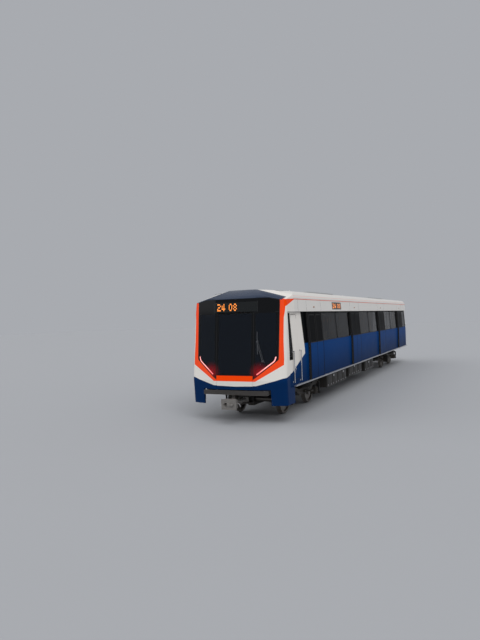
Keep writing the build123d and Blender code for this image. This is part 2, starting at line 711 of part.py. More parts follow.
def build_couplers():
    """Automatic coupler at the nose and a plain drawbar at the rear, each on its pin."""
    y = behind(COUPLER_PIVOT)
    face_y = behind(-COUPLER_REACH + 60)
    coupler = rod(0, y, COUPLER_Z, 85, 2 * COUPLER_EYE, "z")
    coupler += rod(0, (y + face_y) / 2, COUPLER_Z, 62, y - face_y, "y")
    coupler += bar(-230, 230, face_y, face_y + 40, COUPLER_Z - 135, COUPLER_Z + 155)
    coupler += bar(-160, 160, face_y + 39, face_y + 250, COUPLER_Z - 115, COUPLER_Z + 125)
    cone = Pos(95, face_y - 28, COUPLER_Z) * Rot(90, 0, 0) * Cone(60, 25, 64)
    coupler += cone
    coupler -= Pos(-95, face_y + 40, COUPLER_Z) * Rot(90, 0, 0) * Cone(25, 66, 100)
    coupler -= rod(0, y, COUPLER_Z, COUPLER_PIN_R + 0.5, 400, "z")
    save("front_coupler", coupler)
    y = behind(BODY_LENGTH - REAR_PIVOT)
    end_y = behind(BODY_LENGTH + REAR_REACH)
    bar_shape = rod(0, y, COUPLER_Z, 85, 2 * COUPLER_EYE, "z")
    bar_shape += rod(0, (y + end_y) / 2, COUPLER_Z, 62, end_y - y, "y")
    bar_shape += rod(0, end_y - 20, COUPLER_Z, 140, 40, "y")
    bar_shape -= rod(0, y, COUPLER_Z, COUPLER_PIN_R + 0.5, 400, "z")
    for turn in range(6):
        angle = radians(60 * turn + 30)
        bar_shape -= rod(FLANGE_BOLT_R * cos(angle), end_y - 20,
                         COUPLER_Z + FLANGE_BOLT_R * sin(angle), FLANGE_HOLE_R, 60, "y")
    save("rear_drawbar", bar_shape)


FLANGE_BOLT_R = 105.0
FLANGE_HOLE_R = 13.0


def build_leaf(y0, y1):
    """One door leaf on +X, closed: two panels that meet at the waist, pane, hanger, rollers."""
    lower = side_strip(0.0, LEAF_THICK, LEAF_LOW, WAIST_Z, y0, y1)
    window = (y0 + LEAF_FRAME, y1 - LEAF_FRAME, WINDOW_LOW, WINDOW_TOP - 60)
    upper = side_strip(0.0, LEAF_THICK, WAIST_Z, LEAF_TOP, y0, y1) - round_window(*window)
    pane = side_strip(3.0, 3.0 + SHEET, WAIST_Z, LEAF_TOP, y0, y1)
    pane = pane & round_window(*window, shrink=0.3)
    roller_z = LEDGE_TOP + ROLLER_LIFT + ROLLER_R
    middle = (y0 + y1) / 2
    hanger = side_strip(LEAF_THICK - HANGER, LEAF_THICK, LEAF_TOP, roller_z + 18,
                        middle - 235, middle + 235)
    for y in (middle - 200, middle + 200):
        hanger += rod(side_x(roller_z, LEAF_THICK + 11), y, roller_z, ROLLER_R, 26, "x")
    return group([lower, upper, pane, hanger])


def build_leaves():
    for number, centre in enumerate(DOOR_CENTRES, start=1):
        edge = LEAF_GAP / 2
        front = build_leaf(behind(centre - LEAF_WIDTH), behind(centre - edge))
        rear = build_leaf(behind(centre + edge), behind(centre + LEAF_WIDTH))
        save("door_%d_left_front" % number, front)
        save("door_%d_left_rear" % number, rear)
        save("door_%d_right_front" % number, mirrored(front))
        save("door_%d_right_rear" % number, mirrored(rear))


BULK_DOOR_HALF = 300.0
BULK_DOOR_TOP = up(3050.0)


def build_bulkhead():
    """Partition behind the cab, with a glazed hinged door in the middle."""
    y0, y1 = behind(BULKHEAD), behind(BULKHEAD + BULKHEAD_THICK)
    heights = (FLOOR_Z, WAIST_Z, CEILING_Z)
    outline = [(side_x(z, WALL_IN), z) for z in heights]
    wall = along_y(outline + [(-x, z) for x, z in reversed(outline)], y0, y1)
    gap = 6.0
    wall -= bar(-BULK_DOOR_HALF - gap, BULK_DOOR_HALF + 2 * gap, y0, y1, FLOOR_Z, BULK_DOOR_TOP + gap)
    door = bar(-BULK_DOOR_HALF, BULK_DOOR_HALF, y0, y0 + 35, FLOOR_Z + gap, BULK_DOOR_TOP)
    window = bar(-BULK_DOOR_HALF + 80, BULK_DOOR_HALF - 80, y0, y0 + 35, up(2050), up(2950))
    door -= window
    for z in (up(1400.0), up(2100.0), up(2800.0)):
        wall, door = fit_hinge(wall, door, knuckles(0, 60.0, 8.0, 4.0),
                               Pos(-BULK_DOOR_HALF, y0, z) * Rot(0, 90, 0))
    save("cab_bulkhead", wall)
    pane = bar(-BULK_DOOR_HALF + 80.3, BULK_DOOR_HALF - 80.3, y0 + 12, y0 + 20,
               up(2050.3), up(2949.7))
    save("bulkhead_door", group([door, pane]))


def build_cab_inside():
    wall_x = OUTER_HALF - WALL_IN - 1
    desk = bar(640, wall_x, behind(150), behind(640), FLOOR_Z, up(1830))
    desk -= bar(700, 1300, behind(430), behind(640), FLOOR_Z, up(1650))
    desk += bar(640, wall_x, behind(150), behind(480), up(1829), up(1930))
    save("driver_desk", desk & cab_solid(SHELL + 6.0, up(290.0)))
    seat = rod(665, behind(900), (FLOOR_Z + up(1500)) / 2, 60, up(1500) - FLOOR_Z, "z")
    seat += bar(450, 880, behind(700), behind(1120), up(1499), up(1600))
    seat += bar(460, 870, behind(1050), behind(1130), up(1599), up(2230))
    save("driver_seat", seat)


SEAT_FRONT = OUTER_HALF - 560.0
SEAT_Z = up(1570.0)


def build_saloon():
    """Long seats along the walls between the doors, and poles with overhead rails."""
    benches = []
    spans = [(a + LEAF_WIDTH + 150, b - LEAF_WIDTH - 150)
             for a, b in zip(DOOR_CENTRES, DOOR_CENTRES[1:])]
    spans.append((DOOR_CENTRES[-1] + LEAF_WIDTH + 150, WALL_END - 60))
    wall_x = OUTER_HALF - WALL_IN
    for start, end in spans:
        section = [(wall_x, FLOOR_Z), (wall_x - 150, FLOOR_Z), (wall_x - 210, SEAT_Z - 110),
                   (SEAT_FRONT, SEAT_Z - 60), (SEAT_FRONT, SEAT_Z), (wall_x - 90, SEAT_Z - 20),
                   (wall_x - 50, WAIST_Z), (wall_x, WAIST_Z)]
        benches.append(along_y(section, behind(start), behind(end)))
    save("saloon_seats", pair(group(benches)))
    rail_z = up(2950.0)
    pole_x = SEAT_FRONT - 100.0
    first = behind(DOOR_CENTRES[0] - LEAF_WIDTH - 80)
    last = behind(DOOR_CENTRES[-1] + LEAF_WIDTH + 900)
    poles = rod(pole_x, (first + last) / 2, rail_z, 16, last - first, "y")
    for centre in DOOR_CENTRES:
        for side in (-1, 1):
            y = behind(centre + side * (LEAF_WIDTH + 60))
            poles += rod(pole_x, y, (FLOOR_Z + CEILING_Z) / 2, 18, CEILING_Z - FLOOR_Z, "z")
    save("grab_poles", pair(poles))


HANDRAILS = [845.0, 1455.0]
HANDRAIL_OFF = 50.0


def build_handrails():
    """Upright rail with its two brackets, on each side of each cab door."""
    rails = []
    low, high = up(1080.0), up(1990.0)
    x = side_x(low, WALL_DEPTH - HANDRAIL_OFF)
    for place in HANDRAILS:
        y = behind(place)
        rail = rod(x, y, (low + high) / 2, 15, high - low, "z")
        for z in (low + 15, high - 15):
            rail += rod(x - HANDRAIL_OFF / 2, y, z, 13, HANDRAIL_OFF, "x")
        rails.append(rail)
    save("cab_handrails", pair(group(rails)))


def facet_plane(x, z):
    """A plane on the +X facet of the front, facing out, with its x along the facet."""
    y = behind(front_back(z) + (x - CENTRE_HALF) * FACET_SLOPE)
    return Plane(origin=(x, y, z), x_dir=(1, FACET_SLOPE, 0), z_dir=(FACET_SLOPE, -1, RAKE))


def build_wiper():
    """Spindle, two parallel arms and the blade, lying on the driver's windscreen."""
    low = (850.0, up(1750.0))
    plane = facet_plane(*low)
    hub = plane * Pos(0, 0, 15) * Cylinder(26, 30)
    arm = plane * Rot(0, 0, 15) * Pos(0, 290, 24) * Box(16, 600, 10)
    second = plane * Rot(0, 0, 15) * Pos(34, 290, 24) * Box(10, 600, 10)
    foot = plane * Rot(0, 0, 15) * Pos(17, 0, 24) * Box(60, 40, 12)
    head = plane * Rot(0, 0, 15) * Pos(17, 585, 24) * Box(60, 30, 12)
    blade = plane * Pos(-135, 520, 14) * Box(18, 640, 26)
    save("wiper", hub + arm + second + foot + head + blade)


def build_equipment():
    """Cases and air tanks hung under the floor between the bogies."""
    cases = []
    top = UNDER_Z + BEARER_DROP
    table = [          # start, length, half width, low height
        (5100.0, 2700.0, 1180.0, 380.0),
        (8300.0, 2300.0, 1150.0, 420.0),
        (11100.0, 1800.0, 1180.0, 360.0),
    ]
    for start, length, half, low in table:
        body = bar(-half, half, behind(start), behind(start + length), up(low), top)
        cases.append(body)
    for x in (-600.0, 0.0, 600.0):
        first, second = [CORNER_END + number * BEARER_PITCH for number in TANK_BEARERS]
        tank = rod(x, behind((first + second) / 2), up(690), 190, 1500, "y")
        for place in (first, second):
            tank += bar(x - 40, x + 40, behind(place - 30), behind(place + 30), up(690), top)
        cases.append(tank)
    return group(cases)


# Bogies
BEAM_LOW = up(640.0)
BEAM_TOP = up(765.0)
BEAM_DROP = 150.0
BEAM_END = 1420.0
SPRING_TOP_GAP = BOLSTER_GAP
BOX_HALF = 125.0
TRANSOM_Y = 250.0
TRANSOM_HALF = 75.0
GEAR_X = (150.0, 350.0)


def build_bogie(name, centre):
    y = behind(centre)
    half_base = WHEELBASE / 2
    profile = [(-BEAM_END, BEAM_LOW), (-820.0, BEAM_LOW), (-600.0, BEAM_LOW - BEAM_DROP),
               (600.0, BEAM_LOW - BEAM_DROP), (820.0, BEAM_LOW), (BEAM_END, BEAM_LOW),
               (BEAM_END, BEAM_TOP - 20), (860.0, BEAM_TOP), (600.0, BEAM_TOP - 90),
               (-600.0, BEAM_TOP - 90), (-860.0, BEAM_TOP), (-BEAM_END, BEAM_TOP - 20)]
    outline = [(y + dy, z) for dy, z in profile]
    frame = along_x(outline, AXLEBOX_X - BEAM_HALF, AXLEBOX_X + BEAM_HALF)
    frame += along_x(outline, -AXLEBOX_X - BEAM_HALF, -AXLEBOX_X + BEAM_HALF)
    low, high = BEAM_LOW - BEAM_DROP + 10, BEAM_TOP - 110
    inner = AXLEBOX_X - BEAM_HALF
    for side in (-1, 1):
        middle = y + side * TRANSOM_Y
        frame += bar(-inner, inner, middle - TRANSOM_HALF, middle + TRANSOM_HALF, low, high)
    frame += bar(-230, 230, y - 200, y + 200, low, high)
    frame -= rod(0, y, low, PIVOT_R + 0.5, 600, "z")
    save(name + "_frame", frame)

    boxes, springs = [], []
    for side in (-1, 1):
        for x in (-AXLEBOX_X, AXLEBOX_X):
            ya = y + side * half_base
            box = bar(x - 90, x + 90, ya - BOX_HALF, ya + BOX_HALF, AXLE_Z - 120, AXLE_Z + 120)
            box -= rod(x - (20 if x > 0 else -20), ya, AXLE_Z, JOURNAL_R + 0.5, 180, "x")
            boxes.append(box)
            spring_low = AXLE_Z + 120
            springs.append(rod(x, ya, (spring_low + BEAM_LOW) / 2, 75, BEAM_LOW - spring_low, "z"))
    for x in (-AXLEBOX_X, AXLEBOX_X):
        side = 1 if x > 0 else -1
        shoe = span_x(x + side * BEAM_HALF, x + side * (BEAM_HALF + 75),
                      y - 180, y + 180, up(520), up(600))
        shoe += span_x(x + side * 120, x + side * 330, y - 110, y + 110, up(545), up(575))
        boxes.append(shoe)
        base = BEAM_TOP - 90
        top = UNDER_Z - SPRING_TOP_GAP
        springs.append(rod(x, y, (base + top) / 2, 265, top - base, "z"))
    save(name + "_axleboxes", group(boxes))
    save(name + "_springs", group(springs))

    drives = []
    for side in (-1, 1):
        ya = y + side * half_base
        gear = span_y(side * GEAR_X[0], side * GEAR_X[1], ya - side * 640, ya + side * 190,
                      AXLE_Z - 190, AXLE_Z + 170)
        gear -= rod(0, ya, AXLE_Z, AXLE_R + 8, 1400, "x")
        motor_y = y + side * 560
        motor = rod(-side * 30, motor_y, AXLE_Z + 20, 175, 500, "x")
        bracket = span_y(-120, 60, y + side * (TRANSOM_Y + TRANSOM_HALF), motor_y,
                         AXLE_Z + 40, AXLE_Z + 100)
        drives.append(gear + motor + bracket)
    save(name + "_drives", group(drives))


def wheelset(y):
    """An axle and its two wheels, turned as one outline about the axle."""
    rail_r = WHEEL_R
    wheel = [(BACK_TO_BACK - 20, AXLE_R), (BACK_TO_BACK - 20, 140.0), (722.0, 150.0),
             (728.0, 350.0), (BACK_TO_BACK, 362.0), (BACK_TO_BACK, rail_r + FLANGE - 6),
             (BACK_TO_BACK + 12, rail_r + FLANGE),
             (BACK_TO_BACK + FLANGE_WIDTH - 8, rail_r + FLANGE - 8),
             (BACK_TO_BACK + FLANGE_WIDTH, rail_r), (BACK_TO_BACK + TREAD, rail_r - 3),
             (BACK_TO_BACK + TREAD, 362.0), (762.0, 350.0), (756.0, 150.0),
             (BACK_TO_BACK + TREAD + 10, 140.0), (BACK_TO_BACK + TREAD + 10, JOURNAL_R),
             (JOURNAL_END, JOURNAL_R), (JOURNAL_END, 0.0)]
    outline = [(x, y, r) for x, r in wheel]
    outline += [(-x, y, r) for x, r in reversed(wheel)]
    face = Face(Wire.make_polygon(outline))
    turned = revolve(face, axis=Axis((0, y, 0), (1, 0, 0)), revolution_arc=360)
    return Pos(0, 0, AXLE_Z) * turned


def build_running_gear():
    number = 0
    for name, centre in (("bogie_1", BOGIE_FRONT), ("bogie_2", BOGIE_FRONT + BOGIE_PITCH)):
        build_bogie(name, centre)
        for side in (-1, 1):
            number += 1
            save("wheelset_%d" % number, wheelset(behind(centre + side * WHEELBASE / 2)))


lamps = build_cab_front()
panel = side_display(SHEET)
save("lamps_and_displays", group([lamps, panel, mirrored(panel)]))
build_anti_climber()
build_side()
build_roof()
build_rear()
build_underframe()
build_couplers()
build_leaves()
build_bulkhead()
build_cab_inside()
build_saloon()
build_handrails()
build_wiper()
save("underfloor_cases", build_equipment())
build_running_gear()
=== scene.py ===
"""Looks of a metro cab car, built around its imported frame. Lengths are in metres.

X runs across the car, +Y towards the rear end and +Z up; the nose faces -Y.
In names, behind is a distance behind the nose plane and up a height above the rail.
"""
from math import cos, pi, radians, sin, tan

import bmesh
import bpy
import numpy as np
from mathutils import Matrix, Vector


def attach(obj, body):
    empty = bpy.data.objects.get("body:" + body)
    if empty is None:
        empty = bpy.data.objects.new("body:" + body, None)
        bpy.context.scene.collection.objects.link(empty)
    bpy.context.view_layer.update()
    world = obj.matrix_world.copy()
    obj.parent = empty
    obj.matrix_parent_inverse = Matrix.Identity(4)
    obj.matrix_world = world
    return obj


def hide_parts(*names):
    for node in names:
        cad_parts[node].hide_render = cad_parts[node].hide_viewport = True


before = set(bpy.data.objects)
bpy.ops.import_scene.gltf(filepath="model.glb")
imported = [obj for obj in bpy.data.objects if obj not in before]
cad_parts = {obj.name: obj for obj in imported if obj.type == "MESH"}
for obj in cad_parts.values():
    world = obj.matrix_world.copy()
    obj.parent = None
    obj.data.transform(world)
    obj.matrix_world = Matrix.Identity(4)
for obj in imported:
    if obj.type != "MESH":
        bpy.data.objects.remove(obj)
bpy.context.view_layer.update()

bl_info = {
    "name": "Metro Cab Car",
    "version": (1, 0, 0),
    "blender": (4, 5, 0),
    "location": "View3D > Sidebar > Metro Car",
    "description": "Finishes, trim and fittings of a metro cab car, built around its frame",
    "category": "Object",
}

# Shape of the body
NOSE = -10.55
RAIL = 0.028
OUTER_HALF = 1.56
WALL_DEPTH = 0.075
LEAN = tan(radians(4.0))
WAIST = RAIL + 2.0
CENTRE_HALF = 0.65
FACET = tan(radians(15.0))
RAKE = tan(radians(6.2))
FRONT_Z = RAIL + 1.2
CHIN_Z = RAIL + 0.33
CHIN_BACK = 0.07
BODY_LENGTH = 21.3
FIRST_DOOR = 2.99
LAST_DOOR = 2.26            # ahead of the rear end
DOOR_PITCH = (BODY_LENGTH - FIRST_DOOR - LAST_DOOR) / 3
DOOR_CENTRES = FIRST_DOOR + DOOR_PITCH * np.arange(4)
LEAF_WIDTH = 0.70
LEAF_FOOT, LEAF_HEAD = 1.012, 3.118
WINDOW_LOW, WINDOW_TOP = 2.15, 3.08
BOGIES = (3.0, BODY_LENGTH - 3.2)
WHEELBASE = 2.3
WHEEL_R = 0.425
FLOOR = 1.13
CEILING = 3.26
ROOF_TOP = 3.825
ROOF_RADIUS = 8.74
MIRROR = (-1.0, 1.0, 1.0)
SIDES = (-1.0, 1.0)


def up(height):
    return RAIL + height


def behind(distance):
    return NOSE + distance


def linear(colour):
    """Straight values of a colour given as it looks on screen."""
    c = np.asarray(colour[:3], float)
    c = np.where(c <= 0.04045, c / 12.92, ((c + 0.055) / 1.055) ** 2.4)
    return (*c.tolist(), 1.0)


# Surfaces of the body as functions of two places on it

def side_x(z, depth=0.0):
    """Half width at height z: outer half less the depth, leaning in above the waist."""
    return OUTER_HALF - depth - np.maximum(0.0, z - WAIST) * LEAN


def on_side(y, z, out=0.0, depth=WALL_DEPTH):
    """The +X side: x is the half width at z, at some depth, plus the stand-off."""
    y, z, out = np.broadcast_arrays(np.asarray(y, float), z, out)
    return np.stack([side_x(z, depth) + out, y, z], -1)


def on_outer(y, z, out=0.0):
    """The outermost plane of the +X side, where the door leaves and the cantrail lie."""
    return on_side(y, z, out, 0.0)


def on_outer_right(y, z, out=0.0):
    """The same plane on the -X side."""
    return on_outer(y, z, out) * MIRROR


def front_y(x, z):
    """The nose: back by a rake above its foremost height and below it, and by the facets."""
    lower = (FRONT_Z - z) / (FRONT_Z - CHIN_Z) * CHIN_BACK
    upper = (z - FRONT_Z) * RAKE
    facet = np.maximum(0.0, np.abs(x) - CENTRE_HALF) * FACET
    return NOSE + np.where(z < FRONT_Z, lower, upper) + facet


def on_front(x, z, out=0.0):
    """The nose's face at x and z, stood off along its normal."""
    x, z, out = np.broadcast_arrays(np.asarray(x, float), z, out)
    slope = np.where(np.abs(x) > CENTRE_HALF, np.sign(x) * FACET, 0.0)
    length = np.sqrt(slope ** 2 + 1.0 + RAKE ** 2)
    return np.stack([x + out * slope / length, front_y(x, z) - out / length,
                     z + out * RAKE / length], -1)


# Shapes: each gives its points and its faces

def grid(rows, cols, closed=False):
    """Faces between rows of points, each row a ring; closed joins the last row to the first."""
    r, c = np.meshgrid(np.arange(rows if closed else rows - 1), np.arange(cols), indexing="ij")
    next_r, next_c = (r + 1) % rows, (c + 1) % cols
    corners = [r * cols + c, r * cols + next_c, next_r * cols + next_c, next_r * cols + c]
    return np.stack(corners, -1).reshape(-1, 4)


def solid(rings):
    """Rings of points one after another, joined by walls, with a cap at each end."""
    rows, cols = rings.shape[:2]
    first = np.arange(cols)[None, ::-1]
    last = first[:, ::-1] + (rows - 1) * cols
    return rings.reshape(-1, 3), [grid(rows, cols), first, last]


def hoop(rings):
    """Rings of points joined in a circle, such as a seal around a window."""
    return rings.reshape(-1, 3), [grid(*rings.shape[:2], closed=True)]


def block(low, high, edge=0.004):
    """A box with chamfered edges: four rings with cut corners, the outer two drawn in."""
    low, high = np.minimum(low, high).astype(float), np.maximum(low, high).astype(float)
    edge = min(edge, 0.45 * float((high - low).min()))
    rings = []
    for z, inset in ((low[2], edge), (low[2] + edge, 0.0), (high[2] - edge, 0.0),
                     (high[2], edge)):
        a, b = low + inset, high - inset
        x = np.array([a[0] + edge, b[0] - edge, b[0], b[0], b[0] - edge, a[0] + edge,
                      a[0], a[0]])
        y = np.array([a[1], a[1], a[1] + edge, b[1] - edge, b[1], b[1], b[1] - edge,
                      a[1] + edge])
        rings.append(np.stack([x, y, np.full(8, z)], -1))
    return solid(np.array(rings))


def prism(outline, axis, start, end, edge=0.0):
    """A closed outline in the other two axes, carried along one axis, ends drawn in by edge."""
    outline = np.asarray(outline, float)
    centre = outline.mean(0)
    reach = np.linalg.norm(outline - centre, axis=1).max()
    stops = [(start, edge), (start + edge, 0.0), (end - edge, 0.0), (end, edge)]
    if edge == 0.0:
        stops = [(start, 0.0), (end, 0.0)]
    rings = []
    for stop, inset in stops:
        shrunk = centre + (outline - centre) * (1.0 - inset / reach)
        rings.append(np.insert(shrunk, axis, stop, axis=1))
    return solid(np.array(rings))


def tube(path, radius, sides=10):
    """A round bar along a path: a circle at each point, square to the path there."""
    path = np.asarray(path, float)
    steps = np.diff(path, axis=0)
    steps /= np.linalg.norm(steps, axis=1, keepdims=True)
    along = np.vstack([steps[:1], steps[:-1] + steps[1:], steps[-1:]])
    along /= np.linalg.norm(along, axis=1, keepdims=True)
    fixed = np.eye(3)[np.abs(along).max(0).argmin()]
    side = np.cross(along, fixed)
    side /= np.linalg.norm(side, axis=1, keepdims=True)
    lift = np.cross(along, side)
    turn = 2 * pi * np.arange(sides) / sides
    around = (np.cos(turn)[None, :, None] * side[:, None]
              + np.sin(turn)[None, :, None] * lift[:, None])
    radius = np.broadcast_to(np.asarray(radius, float), len(path))[:, None, None]
    return solid(path[:, None] + radius * around)


def bent(points, radius, steps=5):
    """A path through points with each inner corner eased by a quadratic curve."""
    points = [np.asarray(p, float) for p in points]
    path = [points[0]]
    t = np.linspace(0.0, 1.0, steps)[:, None]
    for before, corner, after in zip(points, points[1:], points[2:]):
        into, out = before - corner, after - corner
        a = corner + into * min(0.5, radius / np.linalg.norm(into))
        b = corner + out * min(0.5, radius / np.linalg.norm(out))
        path.extend((1 - t) ** 2 * a + 2 * t * (1 - t) * corner + t ** 2 * b)
    path.append(points[-1])
    return np.array(path)


def lathe(profile, centre, axis, sides=24):
    """A profile of (radius, place along the axis) turned about one axis through a centre."""
    profile = np.asarray(profile, float)
    turn = 2 * pi * np.arange(sides) / sides
    u, v = [a for a in range(3) if a != axis]
    if axis == 1:
        u, v = v, u
    rings = np.zeros((len(profile), sides, 3)) + np.asarray(centre, float)
    radius = np.maximum(profile[:, 0], 1e-4)[:, None]
    rings[..., u] += radius * np.cos(turn)
    rings[..., v] += radius * np.sin(turn)
    rings[..., axis] += profile[:, 1][:, None]
    return solid(rings)


def bolt(centre, axis, radius, height):
    """A six-sided head with a domed end, standing on a face."""
    sign = 1.0 if height > 0 else -1.0
    tall = abs(height)
    return lathe([(radius, -0.2 * tall * sign), (radius, 0.8 * tall * sign),
                  (0.75 * radius, tall * sign)], centre, axis, 6)


def round_rect(y0, y1, z0, z1, radius, steps=5):
    """Points of a rectangle with round corners, and which way is out at each."""
    centres = [(y1 - radius, z1 - radius, 0.0), (y0 + radius, z1 - radius, 0.5 * pi),
               (y0 + radius, z0 + radius, pi), (y1 - radius, z0 + radius, 1.5 * pi)]
    points, normals = [], []
    for cy, cz, start in centres:
        turn = start + np.linspace(0.0, 0.5 * pi, steps)
        way = np.stack([np.cos(turn), np.sin(turn)], -1)
        points.append(np.array([cy, cz]) + radius * way)
        normals.append(way)
    return np.vstack(points), np.vstack(normals)


def edging(outline, section, place):
    """A section of (outwards, stand-off) carried around a flat outline laid on a surface."""
    points, normals = outline
    section = np.asarray(section, float)
    rim = points[:, None] + normals[:, None] * section[None, :, :1]
    return hoop(place(rim[..., 0], rim[..., 1], np.broadcast_to(section[:, 1], rim.shape[:2])))


def raised(outline, stages, place):
    """A plate on a surface: its outline at each stage of (inset, stand-off), capped."""
    points, normals = outline
    rings = []
    for inset, out in stages:
        shrunk = points - normals * inset
        rings.append(place(shrunk[:, 0], shrunk[:, 1], out))
    return solid(np.array(rings))


def strip(path, section, place):
    """A section of (sideways, stand-off) carried along an open path laid on a surface."""
    path, section = np.asarray(path, float), np.asarray(section, float)
    steps = np.diff(path, axis=0)
    along = np.vstack([steps[:1], steps[:-1] + steps[1:], steps[-1:]])
    along /= np.linalg.norm(along, axis=1, keepdims=True)
    across = np.stack([along[:, 1], -along[:, 0]], -1)
    rim = path[:, None] + across[:, None] * section[None, :, :1]
    return solid(place(rim[..., 0], rim[..., 1], np.broadcast_to(section[:, 1], rim.shape[:2])))


SOFT_STRIP = [(-0.5, 0.0), (-0.5, 0.6), (-0.3, 1.0), (0.3, 1.0), (0.5, 0.6), (0.5, 0.0)]


def section_of(width, height, below=0.002):
    """A low strip's section: flat foot, round shoulders."""
    shape = np.array(SOFT_STRIP) * (width, height)
    shape[[0, -1], 1] = -below
    return shape


class Batch:
    """Shapes gathered into one object."""

    def __init__(self):
        self.points = []
        self.faces = []
        self.count = 0

    def add(self, shape, both=False):
        """Takes a shape, and its mirror image too when both is set."""
        points, faces = shape
        self.take(points, faces)
        if both:
            self.take(points * MIRROR, [f[:, ::-1] for f in faces])

    def take(self, points, faces):
        self.points.append(points)
        for f in faces:
            self.faces.extend((f + self.count).tolist())
        self.count += len(points)

    def join(self, other):
        self.faces += [[i + self.count for i in face] for face in other.faces]
        self.points += other.points
        self.count += other.count

    def move_to(self, side):
        """Puts what was shaped for the left side on the side that is named."""
        if side == "right":
            self.points = [p * MIRROR for p in self.points]

    def made(self, name, finish, body="car_body", smooth=38.0, stands_for=()):
        """The object: faces turned outwards, smooth but for sharp edges, riding on a body."""
        mesh = bpy.data.meshes.new(name)
        mesh.from_pydata(np.vstack(self.points).tolist(), [], self.faces)
        shape = bmesh.new()
        shape.from_mesh(mesh)
        bmesh.ops.recalc_face_normals(shape, faces=shape.faces)
        shape.to_mesh(mesh)
        shape.free()
        mesh.shade_smooth()
        mesh.set_sharp_from_angle(angle=radians(smooth))
        mesh.materials.append(FINISHES[finish])
        piece = bpy.data.objects.new(name, mesh)
        bpy.context.scene.collection.objects.link(piece)
        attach(piece, body)
        if stands_for:
            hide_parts(*stands_for)
        return piece


# Finishes

FINISHES = {}


class Term:
    """A value in a node tree; signs on it add Math nodes."""

    def __init__(self, finish, socket):
        self.finish = finish
        self.socket = socket

    def math(self, operation, *values, clamp=False):
        settings = {"operation": operation, "use_clamp": clamp}
        return self.finish.node("ShaderNodeMath", settings, dict(enumerate(values)))

    def __add__(self, other):
        return self.math("ADD", self, other)

    def __radd__(self, other):
        return self.math("ADD", other, self)

    def __sub__(self, other):
        return self.math("SUBTRACT", self, other)

    def __rsub__(self, other):
        return self.math("SUBTRACT", other, self)

    def __mul__(self, other):
        return self.math("MULTIPLY", self, other)

    def __rmul__(self, other):
        return self.math("MULTIPLY", other, self)

    def __truediv__(self, other):
        return self.math("DIVIDE", self, other)

    def __mod__(self, other):
        return self.math("FLOORED_MODULO", self, other)

    def size(self):
        return self.math("ABSOLUTE", self)

    def wave(self):
        return self.math("SINE", self)

    def least(self, other):
        return self.math("MINIMUM", self, other)

    def most(self, other):
        return self.math("MAXIMUM", self, other)

    def over(self, edge, soft=0.004):
        """0 below an edge and 1 above it, with a soft step between."""
        return self.math("ADD", (self - edge) / soft, 0.5, clamp=True)

    def under(self, edge, soft=0.004):
        return 1.0 - self.over(edge, soft)


class Finish:
    """A material made of nodes. x, y and z are Object coordinates; d and h are the
    distance behind the nose and the height above the rail."""

    def __init__(self, name):
        self.material = bpy.data.materials.new(name)
        self.material.use_nodes = True
        self.tree = self.material.node_tree
        self.tree.nodes.clear()
        self.place = self.node("ShaderNodeTexCoord", output="Object")
        parts = self.node("ShaderNodeSeparateXYZ", {}, {0: self.place})
        self.x, self.y, self.z = [Term(self, s) for s in parts.socket.node.outputs]
        self.d = self.y - NOSE
        self.h = self.z - RAIL
        self.side = self.x.size()

    def node(self, kind, settings=None, values=None, output=0):
        """Adds a node, sets it, feeds its sockets and gives one of its outputs."""
        made = self.tree.nodes.new(kind)
        for key, value in (settings or {}).items():
            setattr(made, key, value)
        for key, value in (values or {}).items():
            if isinstance(value, Term):
                self.tree.links.new(value.socket, made.inputs[key])
            else:
                made.inputs[key].default_value = value
        return Term(self, made.outputs[output]) if made.outputs else None

    def mix(self, share, first, second):
        """A colour between two, by a share."""
        return self.node("ShaderNodeMix", {"data_type": "RGBA"}, {0: share, 6: first, 7: second}, 2)

    def stretched(self, stretch):
        """The place with each axis scaled."""
        return self.node("ShaderNodeVectorMath", {"operation": "MULTIPLY"},
                         {0: self.place, 1: stretch})

    def noise(self, scale, detail=3.0, stretch=(1.0, 1.0, 1.0)):
        return self.node("ShaderNodeTexNoise", {}, {"Vector": self.stretched(stretch),
                                                    "Scale": scale, "Detail": detail})

    def close(self, colour, roughness, metallic=0.0, coat=0.0, alpha=1.0, glow=None,
              strength=0.0, bump=None, depth=0.001, ior=1.45):
        """Ends the tree in the surface shader."""
        values = {"Base Color": colour, "Roughness": roughness, "Metallic": metallic,
                  "Coat Weight": coat, "Coat Roughness": 0.06, "Alpha": alpha, "IOR": ior}
        if glow is not None:
            values["Emission Color"] = glow
            values["Emission Strength"] = strength
        if bump is not None:
            values["Normal"] = self.node("ShaderNodeBump", {}, {"Height": bump, "Distance": depth})
        surface = self.node("ShaderNodeBsdfPrincipled", {}, values)
        self.node("ShaderNodeOutputMaterial", {}, {0: surface})
        return self.material


def keep(name, material):
    FINISHES[name] = material


DUST = (0.36, 0.33, 0.29)


def paint(name, colour, rough=0.3, coat=0.3, dust=0.12, metallic=0.0, cast=0.0, ior=1.4):
    """Paint on metal: colour by place, dust that gathers low down, streaks, orange peel."""
    f = Finish(name)
    base = colour(f) if callable(colour) else linear(colour)
    cloud = f.noise(1.7, 5.0)
    streak = f.noise(3.0, 4.0, (6.0, 6.0, 0.35))
    low = 1.0 - f.h.over(1.6, 2.4)
    dirt = (cloud * streak * 2.2 * low + 0.15 * cloud) * dust
    base = f.mix(dirt, base, linear(DUST))
    grain = f.noise(900.0, 2.0) * 0.2 + f.noise(60.0, 3.0) * (0.4 + cast)
    keep(name, f.close(base, rough + 0.22 * cloud * (0.5 + streak) * 0.6, metallic,
                             coat * (1.0 - dirt), bump=grain, depth=0.0006 + 0.004 * cast, ior=ior))


